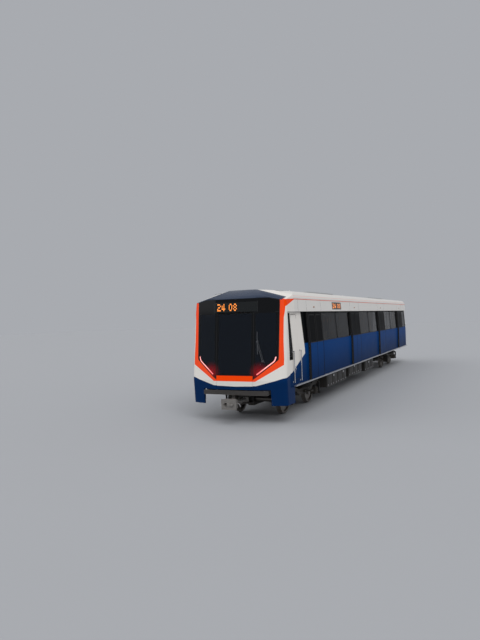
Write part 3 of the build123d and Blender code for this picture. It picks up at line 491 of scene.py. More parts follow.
def metal(name, colour, rough=0.3, brushed=(1.0, 1.0, 1.0), tarnish=(0.3, 0.25, 0.2),
          share=0.2):
    """Bare metal: brushed along one way, tarnished in patches."""
    f = Finish(name)
    lines = f.noise(140.0, 3.0, brushed)
    patch = f.noise(5.0, 5.0)
    base = f.mix(patch.over(0.62, 0.3) * share, linear(colour), linear(tarnish))
    keep(name, f.close(base, rough + 0.25 * (lines - 0.4), 1.0 - 0.5 * share * patch,
                             bump=lines, depth=0.0004))


def rubber(name, colour=(0.09, 0.09, 0.095), rough=0.62):
    """Black rubber with a grey bloom and a fine grain."""
    f = Finish(name)
    bloom = f.noise(9.0, 4.0)
    base = f.mix(bloom * 0.35, linear(colour), linear((0.2, 0.2, 0.2)))
    keep(name, f.close(base, rough + 0.2 * bloom, bump=f.noise(600.0, 2.0), depth=0.0004))


def moulding(name, colour, rough=0.42, grain=500.0):
    """Moulded plastic or laminate with a fine texture and light handling marks."""
    f = Finish(name)
    cloud = f.noise(3.0, 4.0)
    base = colour(f) if callable(colour) else linear(colour)
    base = f.mix(cloud * 0.14, base, linear((0.25, 0.24, 0.23)))
    keep(name, f.close(base, rough + 0.18 * cloud, bump=f.noise(grain, 2.0), depth=0.0003))


def cloth(name, colour):
    """Woven seat cloth: two crossing sine weaves and a fleck of lighter yarn."""
    f = Finish(name)
    warp = (f.x * 1400.0).wave()
    weft = (f.z * 1400.0 + f.y * 900.0).wave()
    weave = (warp * weft).size()
    base = f.mix(weave * 0.5 + 0.2 * f.noise(40.0), linear(colour), linear((0.2, 0.23, 0.3)))
    keep(name, f.close(base, 0.85 + 0.1 * weave, bump=weave, depth=0.0006))


def glow(name, slot, colour, lens, strength):
    """A lit lens: a body colour and the light it gives, uneven over its length."""
    f = Finish(name)
    ripple = f.noise(30.0, 2.0)
    light = colour(f) if callable(colour) else linear(colour)
    light = f.mix(ripple * 0.1, light, linear((1.0, 1.0, 1.0)))
    keep(name, f.close(linear(lens), 0.25 + 0.1 * ripple, glow=light, strength=strength))


def lamp_haze(f):
    """Red light in the glass round the lower end of a lamp strip, fading by the cube."""
    across, along = f.side - HAZE_SIDE, f.h - HAZE_HEIGHT
    haze = (1.0 - (across * across + along * along) / HAZE_SPREAD).most(0.0)
    return haze * haze * haze * 0.8


def glass(name, tint, alpha, frit=None, ior=1.3):
    """Tinted glass that shows what is behind it. frit gives the share of black print by place;
    printed glass also has the haze of the lamps."""
    f = Finish(name)
    film = f.noise(1.3, 4.0)
    base = tint(f) if callable(tint) else linear(tint)
    clear = alpha + 0.05 * film
    if frit:
        print_share = frit(f)
        base = f.mix(print_share, base, linear(FRIT))
        base = f.mix(lamp_haze(f), base, linear(HAZE_RED))
        clear = clear + print_share
    keep(name, f.close(base, 0.04 + 0.05 * film, alpha=clear.least(1.0), ior=ior))


# Livery by place

WHITE = (0.90, 0.885, 0.865)
ORANGE = (1.0, 0.28, 0.02)
BLUE = (0.0, 0.225, 0.46)
# The lower blue is the same paint in painted shade; the upper blue is lightened by a painted
# reflection
BLUE_PAINTED_SHADE = (0.0, 0.155, 0.33)
BLACK_BAND = (0.035, 0.04, 0.048)
FRIT = (0.035, 0.04, 0.05)
LINING = (0.80, 0.79, 0.77)
ROOF_WHITE = (0.88, 0.87, 0.855)
ROOF_LINE = (1.0, 0.36, 0.2)
HAZE_RED = (0.62, 0.05, 0.09)
HAZE_SIDE, HAZE_HEIGHT, HAZE_SPREAD = 0.76, 1.44, 0.13
CAB_END, CAB_END_SLANT = 2.108, 0.086
BAND_FOOT = 2.155
LEAF_BAND_FOOT, LEAF_BAND_EDGE = 2.145, 0.655
QUARTER_START, QUARTER_END = 0.57, 0.885
QUARTER_FOOT, QUARTER_HEAD = 1.74, 3.09
WALL_THICK, LEAF_THICK = 0.131, 0.042
FLARE_END, FLARE_CORNER_FOOT = 1.26, 2.9
DOOR_WHITE_FOOT, DOOR_ORANGE_FOOT, DOOR_GLASS_FOOT = 1.036, 1.186, 1.345
CANTRAIL_LINE, ROOF_EDGE_LINE = (3.488, 3.510), (3.592, 3.602)
FRIT_HEAD, FRIT_FOOT, FRIT_EDGE = 3.11, 1.40, 1.228
FRIT_PILLAR = (0.52, 0.652)
LENS_BORDER = 2.5

# Slanting borders: a height, and its climb for each metre behind the nose
FIELD_STEEP, FIELD_GENTLE, FIELD_SIDE = (1.045, 1.05), (1.225, 0.2), (1.057, 0.407)
FLARE_FOOT, FLARE_HEAD = (3.147, 0.286), (3.472, 0.03)

# Slanting borders: a height, and its climb for each metre away from the middle
MASK_FOOT, FRIT_SLANT = (0.768, 0.7924), (0.938, 0.765)


def blue_with_painted_light(f):
    """Blue, darker towards the sill: painted shade low down and a painted reflection on the upper
    blue.
    """
    return f.mix(f.h.over(1.5, 0.8), linear(BLUE_PAINTED_SHADE), linear(BLUE))


def field_edge(f):
    """Height of the white field's lower edge: steep on the nose, gentle round the corner,
    then climbing along the side."""
    steep, gentle, side = [start + climb * f.d for start, climb in
                           (FIELD_STEEP, FIELD_GENTLE, FIELD_SIDE)]
    return steep.least(gentle).most(side)


def lined(f, outside, depth):
    """The outside colour, and pale lining on what lies deeper than depth behind the outer plane."""
    plane = OUTER_HALF - depth - (f.z - WAIST).most(0.0) * LEAN
    return f.mix((plane - f.side).over(0.0), outside, linear(LINING))


def side_livery(f):
    """White at the cab, blue from its slanting edge back, a black band along the windows and
    black round the cab's quarter window."""
    cab = (f.d + CAB_END_SLANT * f.h).under(CAB_END)
    white = (f.h - field_edge(f)).over(0.0) * cab
    black = f.h.over(BAND_FOOT) * (1.0 - cab)
    base = f.mix(white, blue_with_painted_light(f), linear(WHITE))
    quarter = f.d.over(QUARTER_START) * f.d.under(QUARTER_END)
    quarter = quarter * f.h.over(QUARTER_FOOT) * f.h.under(QUARTER_HEAD)
    return lined(f, f.mix(black.most(quarter), base, linear(BLACK_BAND)), WALL_THICK)


def leaf_livery(f):
    """Blue below, black around the glass and along the leaf's upright edges."""
    along = ((f.d - DOOR_CENTRES[0] + 0.5 * DOOR_PITCH) % DOOR_PITCH - 0.5 * DOOR_PITCH).size()
    black = f.h.over(LEAF_BAND_FOOT).most(along.over(LEAF_BAND_EDGE)).most(along.under(0.012))
    return lined(f, f.mix(black, blue_with_painted_light(f), linear(BLACK_BAND)), LEAF_THICK)


def flare(f):
    """Where the orange runs back along the corner under the roof's edge."""
    swept = (f.h - FLARE_FOOT[1] * f.d).over(FLARE_FOOT[0]) * f.d.under(FLARE_END)
    corner = (f.d - 0.238 * f.h).under(-0.30) * f.h.over(FLARE_CORNER_FOOT)
    return swept.most(corner) * (f.h - FLARE_HEAD[1] * f.d).under(FLARE_HEAD[0])


def nose_livery(f):
    """White over the blue curve, with the orange flare where the corner meets the roof."""
    white = (f.h - field_edge(f)).over(0.0)
    base = f.mix(white, blue_with_painted_light(f), linear(WHITE))
    return f.mix(flare(f), base, linear(ORANGE))


def mask_share(f):
    """1 inside the outline of the mask: over its slanting foot and between its sides."""
    start, climb = MASK_FOOT
    return (f.h - climb * f.side).over(start) * (f.side - 0.0114 * f.h).under(1.277)


def surround_livery(f):
    """Orange, and black where the frame lies behind the glass."""
    return f.mix(mask_share(f), linear(ORANGE), linear(FRIT))


def band_livery(f):
    """Foot of the nose door, upwards: blue, white, orange, and black behind its glass."""
    base = f.mix(f.h.over(DOOR_ORANGE_FOOT), linear(WHITE), linear(ORANGE))
    base = f.mix(f.h.over(DOOR_WHITE_FOOT + 0.03 * f.side), blue_with_painted_light(f), base)
    return f.mix(f.h.over(DOOR_GLASS_FOOT), base, linear(FRIT))


def roof_livery(f):
    """Off-white with two thin warm lines along the cantrail, and the flare at the front."""
    line, faint = [f.h.over(low, 0.003) * f.h.under(high, 0.003)
                   for low, high in (CANTRAIL_LINE, ROOF_EDGE_LINE)]
    line = line.most(faint * 0.5).most(flare(f))
    return f.mix(line, linear(ROOF_WHITE), linear(ROOF_LINE))


def mask_frit(f):
    """The printed edge of the mask: all round, beside the nose door and at the display."""
    start, climb = FRIT_SLANT
    edge = f.h.over(FRIT_HEAD).most(f.side.over(FRIT_EDGE))
    edge = edge.most((f.h - climb * f.side).under(start))
    pillar = f.side.under(FRIT_PILLAR[1]) * f.side.over(FRIT_PILLAR[0])
    return edge.most(pillar).most(f.h.under(FRIT_FOOT))


def lens_tint(f):
    """Head lamp strips behind a rosy lens, number displays behind a black one."""
    return f.mix(f.h.over(LENS_BORDER), linear((0.42, 0.10, 0.11)), linear((0.115, 0.125, 0.13)))


def lamp_light(f):
    """White with a pink cast, turning red at the inner, lower end."""
    return f.mix(f.side.under(0.86, 0.16), linear((1.0, 0.66, 0.64)), linear((1.0, 0.10, 0.10)))


def make_finishes():
    paint("side paint", side_livery, 0.25, 0.0, 0.03, ior=1.05)
    paint("door paint", leaf_livery, 0.25, 0.0, 0.03, ior=1.05)
    paint("white paint", nose_livery, 0.25, 0.04, 0.03, ior=1.1)
    paint("orange paint", surround_livery, 0.22, 0.3, 0.05, ior=1.3)
    paint("door foot paint", band_livery, 0.25, 0.04, 0.03, ior=1.1)
    paint("apron paint", blue_with_painted_light, 0.25, 0.04, 0.03, ior=1.1)
    paint("roof paint", roof_livery, 0.34, 0.2, 0.2)
    paint("cooler paint", (0.66, 0.67, 0.68), 0.45, 0.0, 0.5)
    # Near-black paint, made a little darker still as painted shade under the floor
    paint("frame paint", (0.085, 0.087, 0.09), 0.5, 0.0, 0.25)
    paint("anti-climber paint", (0.30, 0.29, 0.29), 0.4, 0.1, 0.2)
    paint("case paint", (0.16, 0.165, 0.17), 0.45, 0.0, 0.3)
    paint("bogie paint", (0.11, 0.112, 0.115), 0.55, 0.0, 0.35)
    paint("box casting", (0.15, 0.148, 0.145), 0.6, 0.0, 0.4, cast=0.4)
    paint("drive casting", (0.18, 0.18, 0.18), 0.55, 0.0, 0.4, cast=0.4)
    paint("coupler casting", (0.52, 0.51, 0.50), 0.42, 0.0, 0.25, cast=0.5,
          metallic=0.4)
    metal("sill aluminium", (0.80, 0.80, 0.81), 0.32, (1.0, 0.05, 1.0))
    metal("handrail steel", (0.82, 0.82, 0.83), 0.22, (1.0, 1.0, 0.06))
    metal("pole steel", (0.78, 0.78, 0.79), 0.24, (1.0, 1.0, 0.06))
    metal("wheel steel", (0.50, 0.48, 0.46), 0.36, (1.0, 1.0, 1.0),
          (0.30, 0.20, 0.14), 0.6)
    rubber("seal rubber")
    rubber("spring rubber", (0.08, 0.08, 0.085), 0.7)
    rubber("bellows rubber", (0.17, 0.17, 0.18), 0.75)
    # The dome's slate blue is partly its own dark navy and partly a painted reflection of the sky
    moulding("dome gloss", (0.19, 0.24, 0.33), 0.2, 80.0)
    moulding("bulkhead laminate", (0.80, 0.79, 0.77))
    moulding("desk plastic", (0.26, 0.27, 0.29), 0.5)
    moulding("seat plastic", (0.93, 0.66, 0.12), 0.3, 200.0)
    moulding("wiper black", (0.26, 0.27, 0.29), 0.4)
    cloth("seat cloth", (0.10, 0.13, 0.22))
    glass("side glass", (0.045, 0.055, 0.07), 0.70, ior=1.15)
    glass("mask glass", (0.05, 0.075, 0.11), 0.80, mask_frit, ior=1.3)
    glass("lamp glass", lens_tint, 0.92)
    glow("amber dots", "lamp", (1.0, 0.54, 0.0), (0.5, 0.3, 0.05), 1.5)
    glow("strip light", "lamp", lamp_light, (0.85, 0.55, 0.55), 0.9)
    glow("saloon light", "lamp", (1.0, 0.97, 0.92), (0.9, 0.9, 0.88), 2.2)
    moulding("grip plastic", (0.90, 0.60, 0.10), 0.4)
    moulding("amber lens", (0.62, 0.40, 0.20), 0.3)
    moulding("seat base", (0.55, 0.56, 0.58), 0.5)
    moulding("floor sheet", (0.36, 0.38, 0.41), 0.6)


NODE_FINISHES = {
    "underframe": "frame paint", "side_wall_left": "side paint", "side_wall_right": "side paint",
    "roof": "roof paint", "rear_end_wall": "roof paint", "gangway": "bellows rubber",
    "cab_shell": "white paint", "cab_mask_frame": "orange paint", "cab_dome": "dome gloss",
    "apron": "apron paint", "anti_climber": "anti-climber paint",
    "cab_bulkhead": "bulkhead laminate", "driver_desk": "desk plastic",
    "driver_seat": "desk plastic", "saloon_seats": "seat base", "grab_poles": "pole steel",
    "side_glass": "side glass", "windscreens": "mask glass", "lamps_and_displays": "lamp glass",
    "wiper": "wiper black", "cab_handrails": "handrail steel",
    "air_conditioners": "cooler paint", "underfloor_cases": "case paint",
    "door_sills": "sill aluminium", "escape_door": "door foot paint",
    "escape_door_glass": "mask glass", "cab_door_left": "side paint",
    "cab_door_right": "side paint", "bulkhead_door": "bulkhead laminate",
    "front_coupler": "coupler casting", "rear_drawbar": "coupler casting",
}
NODE_KINDS = (("bogie_", "_frame", "bogie paint"), ("bogie_", "_axleboxes", "box casting"),
              ("bogie_", "_springs", "spring rubber"), ("bogie_", "_drives", "drive casting"),
              ("wheelset_", "", "wheel steel"), ("door_", "", "door paint"))


def finish_of(node):
    """The finish that a CAD node wears."""
    if node in NODE_FINISHES:
        return NODE_FINISHES[node]
    return next(f for head, tail, f in NODE_KINDS if node.startswith(head) and node.endswith(tail))


# Pieces

JAMB = 0.06
HALF_MULLION = 0.03
LAST_WINDOW_END = 0.25      # ahead of the last jamb


def bays():
    """Start and end of each window of the saloon, behind the nose."""
    spans = []
    for first, second in zip(DOOR_CENTRES, DOOR_CENTRES[1:]):
        start, end = first + LEAF_WIDTH + JAMB, second - LEAF_WIDTH - JAMB
        middle = 0.5 * (start + end)
        spans += [(start, middle - HALF_MULLION), (middle + HALF_MULLION, end)]
    spans.append((DOOR_CENTRES[-1] + LEAF_WIDTH + JAMB, BODY_LENGTH - JAMB - LAST_WINDOW_END))
    return spans


def side_window_seals(width, stand):
    """Rubber around each pane of the side and around the cab's quarter window."""
    seals = Batch()
    section = section_of(width, stand)
    for start, end in bays():
        pane = round_rect(behind(start), behind(end), up(WINDOW_LOW), up(WINDOW_TOP), 0.06)
        seals.add(edging(pane, section, on_side), both=True)
    quarter = round_rect(behind(0.59), behind(0.80), up(1.85), up(WINDOW_TOP), 0.04)
    seals.add(edging(quarter, section, on_side), both=True)
    return seals.made("window_seals", "seal rubber")


def leaf_fittings(number, side, end):
    """Seal round the leaf's glass, its nosing rubber and the fin on its trailing edge."""
    centre = DOOR_CENTRES[number - 1]
    sign = -1.0 if end == "front" else 1.0
    inner, outer = centre + sign * 0.003, centre + sign * LEAF_WIDTH
    y0, y1 = sorted((behind(inner + sign * 0.07), behind(outer - sign * 0.07)))
    seals = Batch()
    pane = round_rect(y0, y1, up(WINDOW_LOW), up(WINDOW_TOP - 0.06), 0.06)
    seals.add(edging(pane, section_of(0.022, 0.003), on_outer))
    for edge, proud in ((outer, sign * 0.014), (inner, -sign * 0.0022)):
        y = behind(edge)
        rings = []
        for z in (up(LEAF_FOOT), WAIST, up(LEAF_HEAD)):
            x_out, x_in = side_x(z, 0.004), side_x(z, 0.040)
            rings.append([(x_out, y, z), (x_in, y, z), (x_in, y + proud, z),
                          (x_out - 0.006, y + proud, z)])
        seals.add(solid(np.array(rings)))
    seals.move_to(side)
    name = "door_%d_%s_%s" % (number, side, end)
    return seals.made(name + "_seals", "seal rubber", name + "_leaf")


DOORWAY_EDGE = 0.672
LEAF_BACK_GAP = 0.028


def doorway_seals():
    """Rubber on the wall beside each doorway, filling the gap behind the leaves."""
    seals = Batch()
    for centre in DOOR_CENTRES:
        for y in (behind(centre - DOORWAY_EDGE), behind(centre + DOORWAY_EDGE)):
            path = np.array([(y, up(1.02)), (y, WAIST), (y, up(3.105))])
            seals.add(strip(path, section_of(0.03, LEAF_BACK_GAP), on_side), both=True)
    return seals.made("doorway_seals", "seal rubber")


# Each digit's five rows from the top; a row's four bits are its dots
DIGITS = {
    "0": "69996", "1": "26227", "2": "E168F", "3": "E161E", "4": "2AAF2",
    "5": "F8E1E", "6": "68E96", "7": "F1244", "8": "69696", "9": "69716",
}


def dot_rows(text):
    """Lit dots of a line of digits as columns and rows, five rows high and four wide."""
    spots = []
    column = 0
    for letter in text:
        if letter == " ":
            column += 3
            continue
        for row, bits in enumerate(DIGITS[letter]):
            lit = int(bits, 16)
            spots += [(column + 3 - bit, row) for bit in range(4) if lit >> bit & 1]
        column += 5
    return np.array(spots, float), column - 1


def dot_display(text, low, high, place, size=0.8):
    """Digits of square dots between two corners of a surface."""
    spots, columns = dot_rows(text)
    pitch = np.array([(high[0] - low[0]) / columns, (high[1] - low[1]) / 5])
    dots = Batch()
    half = 0.5 * size * pitch
    corner = np.array([(-1, -1), (1, -1), (1, 1), (-1, 1)])
    for column, row in spots:
        middle = np.array([low[0] + (column + 0.5) * pitch[0], high[1] - (row + 0.5) * pitch[1]])
        square = middle + corner * half
        rings = [place(square[:, 0], square[:, 1], out) for out in (-0.0005, 0.0012)]
        dots.add(solid(np.array(rings)))
    return dots


# First and last place across or along, and foot and head, of the lit digits
FRONT_DIGITS = (-0.585, 0.05, 3.20, 3.415)
SIDE_DIGITS = (5.19, 6.20, 3.235, 3.405)


def front_number(text):
    """Digits on the display over the windscreen."""
    left, right, low, high = FRONT_DIGITS
    dots = dot_display(text, (left, up(low)), (right, up(high)), on_front)
    return dots.made("front_number", "amber dots")


def side_numbers(text):
    """Digits on both side displays. On the right they run forwards, so that they read too."""
    start, end, low, high = SIDE_DIGITS
    start, end, low, high = behind(start), behind(end), up(low), up(high)
    dots = dot_display(text, (end, low), (start, high), on_outer_right)
    dots.join(dot_display(text, (start, low), (end, high), on_outer))
    return dots.made("side_numbers", "amber dots")


def lamp_tubes():
    """Bright bar along each head lamp strip, following its bend."""
    path = bent([(1.222, up(1.874)), (1.183, up(1.752)), (0.694, up(1.379))], 0.05)
    bars = Batch()
    bars.add(strip(path[:, :2], section_of(0.030, 0.002, 0.0005), on_front), both=True)
    return bars.made("lamp_strips", "strip light")


DOME_CREASE = radians(42.0)


def dome_skin():
    """A copy of the dome's mesh, its doubles merged and its low creases shaded soft."""
    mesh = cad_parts["cab_dome"].data.copy()
    mesh.name = "dome_skin"
    shape = bmesh.new()
    shape.from_mesh(mesh)
    bmesh.ops.remove_doubles(shape, verts=shape.verts, dist=0.0002)
    shape.to_mesh(mesh)
    shape.free()
    mesh.shade_smooth()
    mesh.set_sharp_from_angle(angle=DOME_CREASE)
    mesh.materials.clear()
    mesh.materials.append(FINISHES["dome gloss"])
    piece = bpy.data.objects.new("dome_skin", mesh)
    bpy.context.scene.collection.objects.link(piece)
    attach(piece, "car_body")
    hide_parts("cab_dome")
    return piece


def screen_edges():
    """Black seals of the mask: round the glass, beside the nose door and along the display."""
    seals = Batch()
    outline = [(0.590, 1.347), (0.652, 1.287), (1.273, 1.779), (1.292, 1.853), (1.310, 3.415),
               (1.290, 3.475), (1.035, 3.534), (0.0, 3.536)]
    path = np.array([(x, up(z)) for x, z in outline])
    seals.add(strip(path, section_of(0.012, 0.003), on_front), both=True)
    lines = ([(0.588, up(1.36)), (0.588, up(3.145))], [(0.70, up(3.15)), (0.70, up(3.47))],
             [(0.60, up(3.137)), (1.29, up(3.137))])
    for line in lines:
        seals.add(strip(np.array(line), section_of(0.010, 0.002), on_front), both=True)
    for height in (3.155, 3.457):
        line = np.array([(-1.30, up(height)), (1.30, up(height))])
        seals.add(strip(line, section_of(0.008, 0.002), on_front))
    return seals.made("mask_seals", "seal rubber")


def drip_rails():
    """Thin gutter along the top edge of each cantrail."""
    rails = Batch()
    z = up(3.540)
    section = np.array([(0.0, -0.012), (0.006, -0.008), (0.006, 0.0), (0.0, 0.006)])
    y = np.array([behind(1.15), behind(BODY_LENGTH - 0.02)])
    x = side_x(z) - 0.004
    rings = np.array([[(x + a, end, z + b) for a, b in section] for end in y])
    rails.add(solid(rings), both=True)
    return rails.made("drip_rails", "roof paint")


def ring_of(section, centre, axis, sides=24):
    """A closed section of (radius, place along the axis) turned into a hoop about one axis."""
    section = np.asarray(section, float)
    turn = 2 * pi * np.arange(sides) / sides
    u, v = [a for a in range(3) if a != axis]
    rings = np.zeros((sides, len(section), 3)) + np.asarray(centre, float)
    rings[..., u] += np.cos(turn)[:, None] * section[:, 0]
    rings[..., v] += np.sin(turn)[:, None] * section[:, 0]
    rings[..., axis] += section[:, 1]
    return hoop(rings)


def round_section(radius, bar, sides=8):
    """A round bar's section: a circle of radius bar whose centre lies at a radius."""
    turn = 2 * pi * np.arange(sides) / sides
    return np.stack([radius + bar * np.cos(turn), bar * np.sin(turn)], -1)


def bolts_round(batch, centre, axis, circle, count, radius, height):
    """A ring of bolt heads about an axis, on both sides of the car."""
    u, v = [a for a in range(3) if a != axis]
    for turn in 2 * pi * np.arange(count) / count:
        place = np.array(centre, float)
        place[u] += circle * cos(turn)
        place[v] += circle * sin(turn)
        batch.add(bolt(place, axis, radius, height), both=True)


def roof_z(x):
    """Top of the roof between its shoulders: a wide circle."""
    return up(ROOF_TOP) - ROOF_RADIUS + np.sqrt(ROOF_RADIUS ** 2 - np.asarray(x, float) ** 2)


COOLER_STARTS = (4.2, 14.2)
COOLER_LENGTH = 3.3
COOLER_HALF = 0.85
COOLER_LID = 3.815
FAN_COUNT, FAN_PITCH, FAN_RADIUS = 4, 0.8, 0.285
LID_RIM = [(-0.06, -0.002), (-0.06, 0.020), (-0.055, 0.0248), (-0.008, 0.0248), (0.0, 0.018),
           (0.0, -0.002)]


def on_lid(x, y, out):
    return np.stack([x, y, up(COOLER_LID) + out], -1)


def fan_guard(cases, centre):
    """Rim, four rings and four spokes over a fan."""
    rim = [(0.33, -0.002), (0.325, 0.020), (0.29, 0.022), (FAN_RADIUS, -0.002)]
    cases.add(ring_of(rim, centre, 2, 32))
    for radius in (0.07, 0.125, 0.18, 0.235):
        cases.add(ring_of(round_section(radius, 0.004, 6) + (0.0, 0.015), centre, 2, 28))
    hub = np.array(centre) + (0.0, 0.0, 0.0175)
    for turn in (0.0, 0.5 * pi, 0.25 * pi, 0.75 * pi):
        spoke = 0.288 * np.array([cos(turn), sin(turn), 0.0])
        cases.add(tube([hub - spoke, hub + spoke], 0.0045, 6))


def air_conditioners():
    """Two roof units: a case with a rimmed lid, four fans with guards, louvres and lid bolts."""
    cases, fans = Batch(), Batch()
    lid = up(COOLER_LID)
    for start in COOLER_STARTS:
        y0, y1 = behind(start), behind(start + COOLER_LENGTH)
        cases.add(block((-COOLER_HALF, y0, up(3.30)), (COOLER_HALF, y1, lid), 0.01))
        cases.add(edging(round_rect(-COOLER_HALF, COOLER_HALF, y0, y1, 0.05), LID_RIM, on_lid))
        for number in range(FAN_COUNT):
            centre = (0.0, y0 + 0.45 + FAN_PITCH * number, lid)
            fans.add(lathe([(FAN_RADIUS, -0.001), (FAN_RADIUS, 0.002)], centre, 2, 32))
            fan_guard(cases, centre)
            for side in SIDES:
                x = side * 0.60
                for slat in range(7):
                    y = centre[1] - 0.27 + 0.09 * slat
                    cases.add(block((x - 0.17, y - 0.03, lid - 0.001),
                                    (x + 0.17, y + 0.022, lid + 0.012)))
        for y in np.arange(y0 + 0.15, y1, 0.3):
            for side in SIDES:
                head = (side * 0.82, y, lid + 0.0247)
                cases.add(lathe([(0.009, 0.0), (0.008, 0.0002)], head, 2, 8))
    fans.made("cooler_fans", "frame paint")
    return cases.made("cooler_cases", "cooler paint", stands_for=["air_conditioners"])


WALKWAY = (1.7, 21.0)
WALKWAY_GAP = 0.2


def rib_spans(x):
    """Ends of the walkway ribs at x: broken by the units where these are in the way."""
    if x > COOLER_HALF:
        return [WALKWAY]
    stops = [WALKWAY[0]]
    for start in COOLER_STARTS:
        stops += [start - WALKWAY_GAP, start + COOLER_LENGTH + WALKWAY_GAP]
    stops.append(WALKWAY[1])
    return list(zip(stops[::2], stops[1::2]))


def roof_fittings():
    """Walkway ribs between and beside the units, two low aerials, lifting eyes and joints of
    the roof skin."""
    ribs, joints = Batch(), Batch()
    for x in (0.62, 0.74, 1.02):
        z = float(roof_z(x))
        for start, end in rib_spans(x):
            ribs.add(block((x - 0.012, behind(start), z - 0.02),
                           (x + 0.012, behind(end), z + 0.008)), both=True)
    for x, place in ((0.45, 2.4), (-0.45, 12.6)):
        foot = (x, behind(place), float(roof_z(x)) - 0.009)
        ribs.add(lathe([(0.09, 0.0), (0.09, 0.008), (0.06, 0.020), (0.02, 0.024)], foot, 2, 20))
    for place in (1.75, 7.9, 13.8, 20.9):
        eye = (1.12, behind(place), float(roof_z(1.12)) - 0.004)
        ribs.add(ring_of(round_section(0.030, 0.008), eye, 0, 16), both=True)
    x = np.linspace(-1.15, 1.15, 25)
    section = ((-0.004, -0.004), (-0.004, 0.0012), (0.004, 0.0012), (0.004, -0.004))
    for place in (1.15, 3.9, 8.6, 13.4, 18.6):
        rings = [np.stack([x, np.full(len(x), behind(place) + dy), roof_z(x) + dz], -1)
                 for dy, dz in section]
        joints.add(solid(np.stack(rings, 1)))
    joints.made("roof_joints", "seal rubber")
    return ribs.made("roof_ribs", "roof paint")


CANTRAIL_JOINT = 3.494
DOOR_LAMP_STAGES = ((0.0, -0.002), (0.0, 0.006), (0.008, 0.012))


def cantrail_fittings():
    """Panel joints along the cantrail and a small amber lens over each doorway."""
    joints, lamps = Batch(), Batch()
    for spot in [1.47] + [c + s for c in DOOR_CENTRES for s in (-0.74, 0.74)]:
        path = np.array([(behind(spot), up(3.14)), (behind(spot), up(3.53))])
        joints.add(strip(path, section_of(0.006, 0.0012), on_outer), both=True)
    path = np.array([(behind(1.16), up(CANTRAIL_JOINT)),
                     (behind(BODY_LENGTH - 0.02), up(CANTRAIL_JOINT))])
    joints.add(strip(path, section_of(0.005, 0.0012), on_outer), both=True)
    for centre in DOOR_CENTRES:
        outline = round_rect(behind(centre - 0.06), behind(centre + 0.06), up(3.25), up(3.29),
                             0.018)
        lamps.add(raised(outline, DOOR_LAMP_STAGES, on_outer), both=True)
    lamps.made("door_lamps", "amber lens")
    return joints.made("cantrail_joints", "seal rubber")


def thresholds():
    """Ribbed tread plate in each doorway, inside the leaves."""
    plates = Batch()
    for centre in DOOR_CENTRES:
        y0, y1 = behind(centre - 0.62), behind(centre + 0.62)
        plates.add(block((1.20, y0, up(FLOOR)), (1.475, y1, up(FLOOR + 0.004)), 0.001), both=True)
        for rib in range(6):
            x = 1.235 + 0.042 * rib
            plates.add(block((x - 0.008, y0 + 0.02, up(FLOOR + 0.0035)),
                             (x + 0.008, y1 - 0.02, up(FLOOR + 0.007)), 0.001), both=True)
    return plates.made("door_treads", "sill aluminium")


def cab_door_fittings(side):
    """Seal round the cab door, its recessed handle and its lock."""
    seals, fittings = Batch(), Batch()
    leaf = round_rect(behind(0.932), behind(1.392), up(1.15), up(3.04), 0.03)
    seals.add(edging(leaf, section_of(0.010, 0.003), on_side))
    recess = round_rect(behind(1.00), behind(1.12), up(1.42), up(1.52), 0.02)
    fittings.add(edging(recess, section_of(0.012, 0.006), on_side))
    y, z = behind(1.06), up(1.47)
    path = bent([on_side(y - 0.045, z, 0.001), on_side(y - 0.045, z, 0.022),
                 on_side(y + 0.045, z, 0.022), on_side(y + 0.045, z, 0.001)], 0.012)
    fittings.add(tube(path, 0.007, 8))
    fittings.add(lathe([(0.016, -0.002), (0.016, 0.005), (0.012, 0.007)],
                       on_side(y, up(1.36)), 0, 16))
    for batch in (seals, fittings):
        batch.move_to(side)
    seals.made("cab_door_%s_seal" % side, "seal rubber", "cab_door_%s_leaf" % side)
    fittings.made("cab_door_%s_handle" % side, "handrail steel", "cab_door_%s_leaf" % side)


ANTI_CLIMBER_TOP = 0.915


def nose_fittings():
    """Rosettes of the handrails, washer jets, the wiper's spindle cap and a row of bolts on
    the anti-climber."""
    steel, black = Batch(), Batch()
    for place in (0.845, 1.455):
        for height in (1.095, 1.975):
            foot = on_side(behind(place), up(height))
            steel.add(lathe([(0.028, -0.002), (0.028, 0.004), (0.020, 0.008)], foot, 0, 16), both=True)
    hub = on_front(0.85, up(1.75), 0.030)
    black.add(lathe([(0.024, 0.0), (0.022, -0.010), (0.010, -0.014)], hub, 1, 16))
    for x, height in ((0.80, 1.66), (0.90, 1.72)):
        foot = on_front(x, up(height), 0.001)
        black.add(lathe([(0.012, 0.0), (0.010, -0.012), (0.004, -0.016)], foot, 1, 10))
    for x in np.linspace(-0.9, 0.9, 7):
        steel.add(bolt((x, behind(0.085), up(ANTI_CLIMBER_TOP)), 2, 0.014, 0.010))
    black.made("wiper_fittings", "wiper black")
    return steel.made("nose_fittings", "handrail steel")


COUPLER_FACE = -0.39
COUPLER_HEIGHT = 0.57


